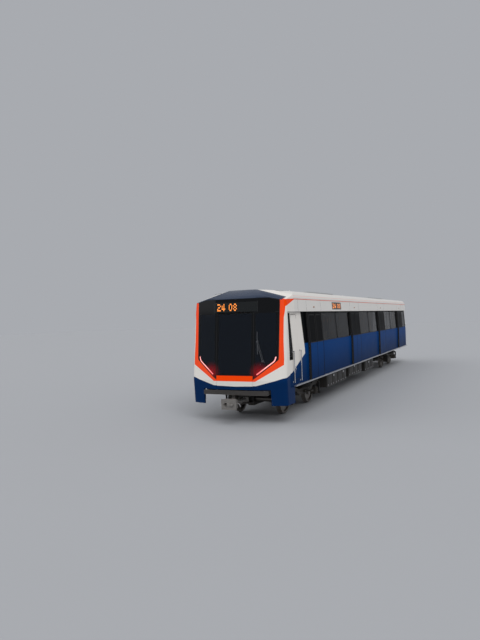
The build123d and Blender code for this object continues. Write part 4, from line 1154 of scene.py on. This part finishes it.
def coupler_details():
    """Hook plate, rims of funnel and cone, face bolts, a box with two plugs, shank clamps,
    pipes and a release lever on each side."""
    parts, pipes = Batch(), Batch()
    face = behind(COUPLER_FACE)
    z = up(COUPLER_HEIGHT)
    pipe_z = z + 0.03
    parts.add(lathe([(0.052, 0.002), (0.052, -0.012), (0.040, -0.016)], (0.0, face, z + 0.005),
                    1, 24))
    funnel = [(0.066, 0.001), (0.080, 0.001), (0.080, -0.008), (0.072, -0.012), (0.066, -0.008)]
    parts.add(ring_of(funnel, (-0.095, face, z), 1, 28))
    cone = [(0.060, 0.001), (0.076, 0.001), (0.074, -0.008), (0.062, -0.008)]
    parts.add(ring_of(cone, (0.095, face, z), 1, 28))
    for x in (-0.19, 0.19):
        for dz in (-0.10, 0.0, 0.115):
            parts.add(bolt((x, face, z + dz), 1, 0.013, -0.010))
    parts.add(block((-0.16, face + 0.02, z + 0.130), (0.16, face + 0.17, z + 0.154), 0.008))
    for x in (-0.10, 0.10):
        parts.add(lathe([(0.020, 0.0), (0.020, -0.012), (0.012, -0.014)],
                        (x, face, z + 0.12), 1, 12))
    clamp = [(0.060, -0.02), (0.074, -0.02), (0.074, 0.02), (0.060, 0.02)]
    for place in (0.20, 0.45):
        parts.add(ring_of(clamp, (0.0, behind(place) - 0.1, z), 1, 24))
    for side in SIDES:
        path = bent([(side * 0.11, face + 0.22, pipe_z), (side * 0.11, face + 0.34, pipe_z),
                     (side * 0.088, face + 0.42, pipe_z), (side * 0.088, behind(0.40), pipe_z)],
                    0.05)
        pipes.add(tube(path, 0.014, 8))
    lever = bent([(0.16, face + 0.12, pipe_z), (0.27, face + 0.12, pipe_z),
                  (0.31, face + 0.12, z - 0.05)], 0.03)
    pipes.add(tube(lever, 0.011, 8))
    pipes.add(tube(lever * MIRROR, 0.011, 8))
    pipes.made("coupler_pipes", "sill aluminium", "front_coupler_head")
    return parts.made("coupler_parts", "coupler casting", "front_coupler_head")


GANGWAY_HALF, GANGWAY_HEAD = 0.65, 3.08
BELLOWS_END = BODY_LENGTH + 0.225
GANGWAY_END = BODY_LENGTH + 0.25
FOLDS = 9


def round_gangway(x, z, y):
    return np.stack([x, y, z], -1)


def gangway_bellows():
    """Pleated rubber with round corners: a zigzag section carried round the way through, and
    a plate on its free end."""
    steps = np.linspace(BODY_LENGTH, BELLOWS_END, 2 * FOLDS + 1)
    outer = [(0.118 if k % 2 == 0 else 0.085, behind(s)) for k, s in enumerate(steps)]
    inner = [(0.010 if k % 2 == 0 else 0.030, behind(s)) for k, s in enumerate(steps)][::-1]
    way = round_rect(-GANGWAY_HALF, GANGWAY_HALF, up(FLOOR), up(GANGWAY_HEAD), 0.06, 7)
    bellows, plate = Batch(), Batch()
    bellows.add(edging(way, outer + inner, round_gangway))
    near, far = behind(BELLOWS_END), behind(GANGWAY_END)
    section = [(0.12, near), (0.12, far - 0.005), (0.112, far), (0.004, far), (0.0, far - 0.005),
               (0.0, near)]
    plate.add(edging(way, section, round_gangway))
    plate.made("gangway_plate", "sill aluminium")
    return bellows.made("gangway_bellows", "bellows rubber", stands_for=["gangway"])


def rear_fittings():
    """Sockets and grab rails on the rear wall."""
    parts = Batch()
    y = behind(BODY_LENGTH)
    for height in (1.15, 1.35):
        parts.add(lathe([(0.07, -0.002), (0.07, 0.03), (0.055, 0.034), (0.055, 0.05), (0.03, 0.052)],
                        (1.05, y, up(height)), 1, 20), both=True)
    rail = bent([(1.28, y - 0.001, up(1.30)), (1.28, y + 0.06, up(1.30)), (1.28, y + 0.06, up(2.1)),
                 (1.28, y - 0.001, up(2.1))], 0.03)
    parts.add(tube(rail, 0.013, 10), both=True)
    return parts.made("rear_fittings", "handrail steel")


# Start, length, half width, foot and number of doors of each case below the floor
CASES = ((5.1, 2.7, 1.18, 0.38, 4), (8.3, 2.3, 1.15, 0.42, 3), (11.1, 1.8, 1.18, 0.36, 3))
CASE_TOP = 0.96
CASE_DOOR_STAGES = ((0.0, -0.002), (0.0, 0.008), (0.006, 0.012))


def case_louvres(doors, x, y0, y1, z0):
    """Six slanting slats on a door of a case."""
    for slat in range(6):
        z = z0 + 0.10 + 0.045 * slat
        outline = [(x - 0.002, z), (x + 0.012, z + 0.004), (x + 0.002, z + 0.032),
                   (x - 0.002, z + 0.032)]
        doors.add(prism(outline, 1, y0 + 0.12, y1 - 0.12), both=True)


def case_panels():
    """Doors with latches, hinges, louvres and blank plates on the underfloor cases."""
    doors, metalwork = Batch(), Batch()
    for start, length, half, low, count in CASES:
        width = length / count
        x = half + CASE_DOOR_STAGES[-1][1]
        z0, z1 = up(low + 0.03), up(CASE_TOP - 0.06)

        def on_case(y, z, out, half=half):
            return np.stack([np.full(len(y), half + out), y, z], -1)

        for number in range(count):
            y0 = behind(start + number * width + 0.025)
            y1 = behind(start + (number + 1) * width - 0.025)
            outline = round_rect(y0, y1, z0, z1, 0.03)
            doors.add(raised(outline, CASE_DOOR_STAGES, on_case), both=True)
            if number % 2 == 0:
                case_louvres(doors, x, y0, y1, z0)
            else:
                metalwork.add(block((x - 0.001, y0 + 0.15, z0 + 0.30),
                                    (x + 0.002, y0 + 0.27, z0 + 0.37), 0.0005), both=True)
            for share in (0.18, 0.82):
                y = y0 + share * (y1 - y0)
                metalwork.add(block((x - 0.001, y - 0.02, z0 + 0.02),
                                    (x + 0.012, y + 0.02, z0 + 0.075)), both=True)
                pin = [(x + 0.004, y - 0.045, z1 - 0.008), (x + 0.004, y + 0.045, z1 - 0.008)]
                metalwork.add(tube(pin, 0.008, 8), both=True)
    metalwork.made("case_latches", "sill aluminium")
    return doors.made("case_doors", "case paint")


# Distance from the middle, height and radius of each pipe below the sole bars
PIPES = ((1.36, 0.900, 0.013), (1.40, 0.905, 0.010), (1.33, 0.898, 0.018))
PIPES_START, PIPES_END = 4.9, 15.9
TANK_HEIGHT = 0.69
TANK_FRONT, TANK_REAR = 13.1125, 14.6125


def underfloor_pipes():
    """Pipes below the sole bars with their clamps, and straps and round ends of the tanks."""
    pipes, clamps = Batch(), Batch()
    for x, z, radius in PIPES:
        path = [(x, behind(PIPES_START), up(z)), (x, behind(PIPES_END), up(z))]
        pipes.add(tube(path, radius, 10), both=True)
    for place in np.arange(5.4, 15.8, 0.9):
        clamps.add(block((1.30, behind(place) - 0.02, up(0.878)),
                         (1.42, behind(place) + 0.02, up(0.932))), both=True)
    band = [(0.189, -0.025), (0.196, -0.025), (0.196, 0.025), (0.189, 0.025)]
    for x in (-0.6, 0.0, 0.6):
        for place in (13.33, 14.395):
            clamps.add(ring_of(band, (x, behind(place), up(TANK_HEIGHT)), 1, 28))
        for place, way in ((TANK_FRONT, -1.0), (TANK_REAR, 1.0)):
            head = [(0.19, 0.0), (0.165, 0.022 * way), (0.10, 0.038 * way), (0.02, 0.044 * way)]
            clamps.add(lathe(head, (x, behind(place), up(TANK_HEIGHT)), 1, 28))
    clamps.made("pipe_clamps", "case paint")
    return pipes.made("underfloor_pipes", "case paint")


AXLEBOX_FACE = 1.09
DAMPER_X = 1.125


def axlebox_cover(covers, axle):
    """A domed cover on the end of an axle, with eight bolts."""
    cover = [(0.105, -0.002), (0.105, 0.016), (0.092, 0.024), (0.045, 0.028), (0.04, 0.034)]
    covers.add(lathe(cover, (AXLEBOX_FACE, axle, up(WHEEL_R)), 0, 28), both=True)
    bolts_round(covers, (AXLEBOX_FACE + 0.015, axle, up(WHEEL_R)), 0, 0.088, 8, 0.009, 0.020)


def damper(covers, rods, y):
    """A damper beside an axlebox: a rod in a wider tube, held by a bracket at each end."""
    covers.add(block((1.082, y - 0.03, up(0.30)), (1.15, y + 0.03, up(0.345))), both=True)
    for low, high, radius in ((0.345, 0.52, 0.030), (0.50, 0.69, 0.037)):
        rods.add(tube([(DAMPER_X, y, up(low)), (DAMPER_X, y, up(high))], radius, 14), both=True)
    covers.add(block((1.079, y - 0.035, up(0.665)), (1.15, y + 0.035, up(0.715))), both=True)


def tread_brake(brakes, near, way):
    """A tread brake's case, its hanger and two bolts."""
    brakes.add(block((0.69, near, up(0.545)), (0.80, near + way * 0.22, up(0.635)), 0.015),
               both=True)
    brakes.add(block((0.70, near + way * 0.19, up(0.40)),
                     (0.79, near + way * 0.30, up(0.60)), 0.012), both=True)
    for height in (0.44, 0.50):
        brakes.add(bolt((0.745, near + way * 0.25, up(height)), 0, 0.014, 0.062), both=True)


def bogie_fittings(number):
    """Axlebox covers with bolts, dampers, tread brakes, air spring rings and beam bolts."""
    name = "bogie_%d" % number
    centre = behind(BOGIES[number - 1])
    covers, brakes, rods = Batch(), Batch(), Batch()
    for way in SIDES:
        axle = centre + way * 0.5 * WHEELBASE
        axlebox_cover(covers, axle)
        damper(covers, rods, axle + way * 0.17)
        tread_brake(brakes, centre + way * 0.33, way)
    spring_ring = [(0.262, -0.012), (0.280, -0.012), (0.280, 0.012), (0.262, 0.012)]
    for z in (0.692, 0.905):
        covers.add(ring_of(spring_ring, (1.0, centre, up(z)), 2, 32), both=True)
    for place in (-0.45, -0.30, 0.30, 0.45):
        covers.add(bolt((1.08, centre + place, up(0.60)), 0, 0.016, 0.016), both=True)
    rods.made(name + "_dampers", "seal rubber", name)
    brakes.made(name + "_brakes", "box casting", name)
    return covers.made(name + "_covers", "box casting", name)


def wheel_fittings(number):
    """Brake discs bolted on the outer faces of both wheels."""
    bogie, axle = divmod(number - 1, 2)
    y, z = behind(BOGIES[bogie] + SIDES[axle] * 0.5 * WHEELBASE), up(WHEEL_R)
    discs = Batch()
    section = [(0.19, 0.757), (0.33, 0.757), (0.33, 0.776), (0.325, 0.780), (0.195, 0.780),
               (0.19, 0.776)]
    discs.add(ring_of(section, (0.0, y, z), 0, 40), both=True)
    bolts_round(discs, (0.779, y, z), 0, 0.215, 10, 0.010, 0.010)
    return discs.made("wheelset_%d_discs" % number, "wheel steel", "wheelset_%d_axle" % number)


SEAT_FACE = [(0.992, 1.505), (0.988, 1.545), (1.010, 1.582), (1.10, 1.572), (1.26, 1.556),
             (1.335, 1.585), (1.372, 1.75), (1.380, 1.95), (1.390, 2.010)]
SEAT_BACK = [(1.425, 2.008), (1.415, 1.95), (1.405, 1.75), (1.372, 1.552), (1.28, 1.525),
             (1.10, 1.540), (1.03, 1.545), (1.008, 1.530), (1.006, 1.505)]
SEAT_CLEAR = 0.86
SEAT_PITCH = 0.43
SEAT_GAP = 0.008
LAST_SEAT_END = BODY_LENGTH - 0.14


def seat_shells():
    """Moulded single seats on the long benches: a thin shell that follows seat and back,
    hollowed a little in the middle of each seat."""
    shells = Batch()
    ring = np.array(SEAT_FACE + SEAT_BACK)
    middle = ring.mean(0)
    spans = [(a + SEAT_CLEAR, b - SEAT_CLEAR) for a, b in zip(DOOR_CENTRES, DOOR_CENTRES[1:])]
    spans.append((DOOR_CENTRES[-1] + SEAT_CLEAR, LAST_SEAT_END))
    for start, end in spans:
        count = int((end - start) / SEAT_PITCH)
        width = (end - start) / count
        for number in range(count):
            y0 = behind(start + number * width + SEAT_GAP)
            y1 = behind(start + (number + 1) * width - SEAT_GAP)
            rings = []
            for y, dip, share in ((y0, 0.0, 0.96), (y0 + 0.015, 0.0, 1.0), (y0 + 0.10, 0.010, 1.0),
                                  (y1 - 0.10, 0.010, 1.0), (y1 - 0.015, 0.0, 1.0), (y1, 0.0, 0.96)):
                points = middle + (ring - middle) * share
                points[2:6, 1] -= dip
                x, z = points.T
                rings.append(np.stack([x, np.full(len(x), y), up(z)], -1))
            shells.add(solid(np.array(rings)), both=True)
    return shells.made("seat_shells", "seat plastic", smooth=50.0)


GRIP_X = 0.90
GRIP_HEIGHT = 2.775
GRIP_RADIUS = 0.050


def grip_loop(y):
    """A rounded triangle in the plane across X: a circle whose radius swells three times in
    a turn, with a round bar carried along it."""
    t = 2 * pi * np.arange(12) / 12
    radius = GRIP_RADIUS * (1.0 + 0.12 * np.cos(3.0 * t - 0.5 * pi))
    path = np.stack([np.full(12, GRIP_X), y + radius * np.sin(t),
                     up(GRIP_HEIGHT) + radius * np.cos(t)], -1)
    along = np.roll(path, -1, 0) - np.roll(path, 1, 0)
    along /= np.linalg.norm(along, axis=1, keepdims=True)
    across = np.array([1.0, 0.0, 0.0])
    lift = np.cross(along, across)
    turn = 2 * pi * np.arange(6) / 6
    around = (np.cos(turn)[None, :, None] * across
              + np.sin(turn)[None, :, None] * lift[:, None])
    return hoop(path[:, None] + 0.007 * around)


def straps():
    """Hanging grips on the overhead rails: a strap and a rounded triangle."""
    grips = Batch()
    for first, second in zip(DOOR_CENTRES, DOOR_CENTRES[1:]):
        for place in np.linspace(first + 1.0, second - 1.0, 8):
            y = behind(place)
            grips.add(block((GRIP_X - 0.005, y - 0.012, up(2.82)),
                            (GRIP_X + 0.005, y + 0.012, up(2.968)), 0.002), both=True)
            grips.add(grip_loop(y), both=True)
    return grips.made("hanging_grips", "grip plastic")


def saloon_fittings():
    """Ceiling lamps, the floor sheet and the ceiling's air slots."""
    lamps, sheet, slots = Batch(), Batch(), Batch()
    z = up(CEILING)
    for start, end in ((2.3, 6.6), (7.0, 11.4), (11.8, 16.2), (16.6, 21.0)):
        lamps.add(block((0.50, behind(start), z - 0.022), (0.64, behind(end), z + 0.001), 0.008),
                  both=True)
    sheet.add(block((-0.99, behind(2.01), up(FLOOR - 0.0015)),
                    (0.99, behind(BODY_LENGTH - 0.07), up(FLOOR + 0.0025)), 0.001))
    for place in np.arange(2.6, 20.8, 0.9):
        slots.add(block((0.16, behind(place), z - 0.006),
                        (0.26, behind(place + 0.6), z + 0.001), 0.002), both=True)
    lamps.made("saloon_lamps", "saloon light")
    slots.made("ceiling_slots", "seal rubber")
    return sheet.made("floor_cover", "floor sheet")


DESK_TOP = 1.928


def cab_console():
    """Two screens, rows of keys and the master lever on the driver's desk."""
    screens, keys = Batch(), Batch()
    desk = up(DESK_TOP)
    outline = [(behind(0.36), desk), (behind(0.30), up(2.10)), (behind(0.27), up(2.09)),
               (behind(0.33), desk)]
    for x in (0.80, 1.08):
        screens.add(prism(outline, 0, x - 0.12, x + 0.12, 0.004))
    for row in range(3):
        for column in range(8):
            x = 0.72 + 0.05 * column
            y = behind(0.40 + 0.022 * row)
            keys.add(block((x, y, desk), (x + 0.03, y + 0.014, desk + 0.008), 0.002))
    lever = bent([(0.70, behind(0.45), desk - 0.003), (0.70, behind(0.44), up(2.02)),
                  (0.74, behind(0.44), up(2.03))], 0.02)
    keys.add(tube(lever, 0.010, 8))
    keys.add(lathe([(0.03, 0.0), (0.03, 0.008), (0.018, 0.012)], (0.70, behind(0.45), desk), 2, 16))
    keys.made("desk_keys", "grip plastic")
    return screens.made("desk_screens", "wiper black")


def pad(low, high, crown, cells=14):
    """A cushion: square rings pulled to a round-cornered outline, stacked from a small one
    at the foot through the full one at half height to a small one raised by the crown."""
    low, high = np.asarray(low, float), np.asarray(high, float)
    u = np.linspace(-1.0, 1.0, cells)
    ring_u = np.concatenate([u, np.ones(cells - 2), u[::-1], -np.ones(cells - 2)])
    ring_v = np.concatenate([-np.ones(cells), u[1:-1], np.ones(cells), u[::-1][1:-1]])
    middle, half = 0.5 * (low + high), 0.5 * (high - low)
    length = np.maximum(np.abs(ring_u), np.abs(ring_v))
    round_off = 1.0 - 0.10 * (np.abs(ring_u * ring_v)) ** 3
    profile = ((0.02, -1.0), (0.55, -1.0), (0.86, -0.93), (0.97, -0.6), (1.0, 0.0), (0.97, 0.6),
               (0.86, 0.93), (0.6, 1.0 + crown * 0.5), (0.3, 1.0 + crown * 0.9),
               (0.02, 1.0 + crown))
    rings = []
    for share, height in profile:
        pull = 1.0 - 0.035 * np.cos(0.5 * pi * ring_u * ring_v) * (1.0 - abs(height))
        x = middle[0] + half[0] * ring_u * share * round_off * pull / length
        y = middle[1] + half[1] * ring_v * share * round_off * pull / length
        rings.append(np.stack([x, y, np.full(len(x), middle[2] + half[2] * height)], -1))
    return solid(np.array(rings))


def driver_cushions():
    """Seat and back pads on the driver's seat, both crowned."""
    seat, back = Batch(), Batch()
    seat.add(pad((0.46, behind(0.71), up(1.585)), (0.87, behind(1.05), up(1.665)), 0.25))
    made = [seat.made("driver_seat_pad", "seat cloth", smooth=80.0)]
    points, faces = pad((0.47, 0.0, 0.0), (0.86, 0.56, 0.075), 0.25)
    turned = np.stack([points[:, 0], behind(1.055) - points[:, 2], up(1.68) + points[:, 1]], -1)
    back.add((turned, faces))
    made.append(back.made("driver_back_pad", "seat cloth", smooth=80.0))
    return made


# Operators: one for each group of pieces

class Settings(bpy.types.PropertyGroup):
    """Sizes and colours that a user would change."""

    seal_width: bpy.props.FloatProperty(
        name="Window Seal Width", description="Width of the rubber around each side window",
        default=0.024, min=0.01, max=0.05, unit="LENGTH")
    seal_stand: bpy.props.FloatProperty(
        name="Window Seal Height", description="How far the rubber stands off the side",
        default=0.006, min=0.001, max=0.02, unit="LENGTH")
    front_text: bpy.props.StringProperty(
        name="Front Number", description="Digits on the display over the windscreen",
        default="24 08")
    side_text: bpy.props.StringProperty(
        name="Side Number", description="Digits on the displays along the sides", default="24 08")
    floor_colour: bpy.props.FloatVectorProperty(
        name="Floor Colour", description="Colour of the studio floor and of the backdrop",
        subtype="COLOR_GAMMA", default=(0.66, 0.67, 0.69), min=0.0, max=1.0)
    key_strength: bpy.props.FloatProperty(
        name="Key Light", description="Strength of the wide soft light over the nose's left",
        default=1.1, min=0.0)


class METRO_OT_finishes(bpy.types.Operator):
    """Makes every material and gives each frame part its own"""

    bl_idname = "metro.finishes"
    bl_label = "Finishes"

    def execute(self, context):
        make_finishes()
        for name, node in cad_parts.items():
            node.data.materials.clear()
            node.data.materials.append(FINISHES[finish_of(name)])
        return {"FINISHED"}


class METRO_OT_sides(bpy.types.Operator):
    """Adds window seals, gutters, doorway rubbers and the fittings of the door leaves"""

    bl_idname = "metro.sides"
    bl_label = "Sides"

    def execute(self, context):
        settings = context.scene.metro_car
        side_window_seals(settings.seal_width, settings.seal_stand)
        drip_rails()
        doorway_seals()
        for number in range(1, 5):
            for side in ("left", "right"):
                for end in ("front", "rear"):
                    leaf_fittings(number, side, end)
        return {"FINISHED"}


class METRO_OT_nose(bpy.types.Operator):
    """Adds the mask's seals, the dome's skin, the lamp strips and the lit numbers"""

    bl_idname = "metro.nose"
    bl_label = "Nose"

    def execute(self, context):
        settings = context.scene.metro_car
        screen_edges()
        dome_skin()
        lamp_tubes()
        front_number(settings.front_text)
        side_numbers(settings.side_text)
        return {"FINISHED"}


class METRO_OT_nose_fittings(bpy.types.Operator):
    """Adds the small parts of the nose, the cab doors and the coupler"""

    bl_idname = "metro.nose_fittings"
    bl_label = "Nose Fittings"

    def execute(self, context):
        nose_fittings()
        coupler_details()
        for side in ("left", "right"):
            cab_door_fittings(side)
        return {"FINISHED"}


class METRO_OT_roof(bpy.types.Operator):
    """Adds the air conditioners, ribs, aerials, cantrail joints and door lamps"""

    bl_idname = "metro.roof"
    bl_label = "Roof"

    def execute(self, context):
        air_conditioners()
        roof_fittings()
        cantrail_fittings()
        return {"FINISHED"}


class METRO_OT_underfloor(bpy.types.Operator):
    """Adds case doors, pipes, tank straps and the fittings of the bogies and wheels"""

    bl_idname = "metro.underfloor"
    bl_label = "Underfloor"

    def execute(self, context):
        case_panels()
        underfloor_pipes()
        for number in (1, 2):
            bogie_fittings(number)
        for number in (1, 2, 3, 4):
            wheel_fittings(number)
        return {"FINISHED"}


class METRO_OT_rear(bpy.types.Operator):
    """Adds the gangway's bellows and the fittings of the rear wall"""

    bl_idname = "metro.rear"
    bl_label = "Rear End"

    def execute(self, context):
        gangway_bellows()
        rear_fittings()
        return {"FINISHED"}


class METRO_OT_inside(bpy.types.Operator):
    """Adds seats, grips, lamps and floor of the saloon, and the driver's console and pads"""

    bl_idname = "metro.inside"
    bl_label = "Inside"

    def execute(self, context):
        seat_shells()
        straps()
        saloon_fittings()
        thresholds()
        cab_console()
        driver_cushions()
        return {"FINISHED"}


class METRO_OT_stage(bpy.types.Operator):
    """Adds the floor, the lamps, the world and the camera"""

    bl_idname = "metro.stage"
    bl_label = "Stage"

    def execute(self, context):
        settings = context.scene.metro_car
        scene = context.scene
        build_floor(settings.floor_colour)
        build_world(settings.floor_colour)
        build_lamps(settings.key_strength)
        build_camera(scene)
        scene.view_settings.view_transform = "Standard"
        return {"FINISHED"}


def build_floor(colour):
    """A wide flat sheet at z = 0, just below the wheels' flanges."""
    mesh = bpy.data.meshes.new("studio_floor")
    reach = 140.0
    mesh.from_pydata([(-reach, -reach, 0.0), (reach, -reach, 0.0), (reach, reach, 0.0),
                      (-reach, reach, 0.0)], [], [(0, 1, 2, 3)])
    f = Finish("studio floor")
    fade = f.noise(0.4, 3.0) * 0.03
    base = f.mix(fade, linear(colour), linear((0.5, 0.5, 0.5)))
    mesh.materials.append(f.close(base, 0.9 - fade))
    floor = bpy.data.objects.new("studio_floor", mesh)
    bpy.context.scene.collection.objects.link(floor)


WORLD_FILL = 0.66


def build_world(colour):
    """Even pale light from all round; rays that see or mirror the world get the backdrop."""
    world = bpy.data.worlds.new("studio")
    bpy.context.scene.world = world
    world.use_nodes = True
    tree = world.node_tree
    tree.nodes.clear()
    path = tree.nodes.new("ShaderNodeLightPath")
    fill = tree.nodes.new("ShaderNodeBackground")
    fill.inputs[0].default_value = (1.0, 1.0, 1.0, 1.0)
    fill.inputs[1].default_value = WORLD_FILL
    seen = tree.nodes.new("ShaderNodeBackground")
    seen.inputs[0].default_value = linear(colour)
    seen.inputs[1].default_value = 1.0
    either = tree.nodes.new("ShaderNodeMath")
    either.operation = "MAXIMUM"
    tree.links.new(path.outputs["Is Camera Ray"], either.inputs[0])
    tree.links.new(path.outputs["Is Transmission Ray"], either.inputs[1])
    both = tree.nodes.new("ShaderNodeMath")
    both.operation = "MAXIMUM"
    tree.links.new(either.outputs[0], both.inputs[0])
    tree.links.new(path.outputs["Is Glossy Ray"], both.inputs[1])
    mix = tree.nodes.new("ShaderNodeMixShader")
    tree.links.new(both.outputs[0], mix.inputs[0])
    tree.links.new(fill.outputs[0], mix.inputs[1])
    tree.links.new(seen.outputs[0], mix.inputs[2])
    end = tree.nodes.new("ShaderNodeOutputWorld")
    tree.links.new(mix.outputs[0], end.inputs[0])


def build_lamps(power):
    """Two wide soft suns: the key over the nose's left side and a weaker one from the right."""
    lamps = (("key", (0.55, -0.75, 1.0), 40.0, power),
             ("fill", (-0.8, -0.35, 0.7), 60.0, 0.35 * power))
    for name, way, spread, strength in lamps:
        light = bpy.data.lights.new(name, "SUN")
        light.angle = radians(spread)
        light.energy = strength
        lamp = bpy.data.objects.new(name, light)
        lamp.location = Vector(way) * 30.0
        lamp.rotation_euler = Vector(way).to_track_quat("Z", "Y").to_euler()
        bpy.context.scene.collection.objects.link(lamp)


CAMERA_PLACE = (6.95, -24.47, 3.01)
CAMERA_YAW = radians(25.7)
CAMERA_PITCH = radians(-0.18)
CAMERA_ROLL = radians(1.87)
FOCUS_PIXELS = 545.0
IMAGE_HEIGHT = 640.0
SENSOR_HEIGHT = 36.0        # millimetres


def build_camera(scene):
    """The photograph's viewpoint: nearly level, tilted a little to one side."""
    data = bpy.data.cameras.new("camera")
    data.sensor_fit = "VERTICAL"
    data.sensor_height = SENSOR_HEIGHT
    data.lens = FOCUS_PIXELS / IMAGE_HEIGHT * SENSOR_HEIGHT
    data.clip_end = 400.0
    camera = bpy.data.objects.new("camera", data)
    camera.location = CAMERA_PLACE
    yaw = Matrix.Rotation(CAMERA_YAW, 4, "Z")
    pitch = Matrix.Rotation(radians(90.0) + CAMERA_PITCH, 4, "X")
    roll = Matrix.Rotation(-CAMERA_ROLL, 4, "Z")
    camera.rotation_euler = (yaw @ pitch @ roll).to_euler()
    scene.collection.objects.link(camera)
    scene.camera = camera


STEPS = (METRO_OT_finishes, METRO_OT_sides, METRO_OT_nose, METRO_OT_nose_fittings,
         METRO_OT_roof, METRO_OT_underfloor, METRO_OT_rear, METRO_OT_inside, METRO_OT_stage)


class METRO_PT_panel(bpy.types.Panel):
    """Lists the settings and the steps that build the car's looks"""

    bl_label = "Metro Car"
    bl_idname = "METRO_PT_panel"
    bl_space_type = "VIEW_3D"
    bl_region_type = "UI"
    bl_category = "Metro Car"

    def draw(self, context):
        settings = context.scene.metro_car
        for name in settings.bl_rna.properties.keys():
            if name not in ("rna_type", "name"):
                self.layout.prop(settings, name)
        for step in STEPS:
            self.layout.operator(step.bl_idname)


CLASSES = (Settings, *STEPS, METRO_PT_panel)


def register():
    for item in CLASSES:
        bpy.utils.register_class(item)
    bpy.types.Scene.metro_car = bpy.props.PointerProperty(type=Settings)


def unregister():
    del bpy.types.Scene.metro_car
    for item in reversed(CLASSES):
        bpy.utils.unregister_class(item)


def main():
    """Registers the add-on and runs its steps in order."""
    register()
    for step in STEPS:
        group, name = step.bl_idname.split(".")
        getattr(getattr(bpy.ops, group), name)()


if __name__ == "__main__":
    main()
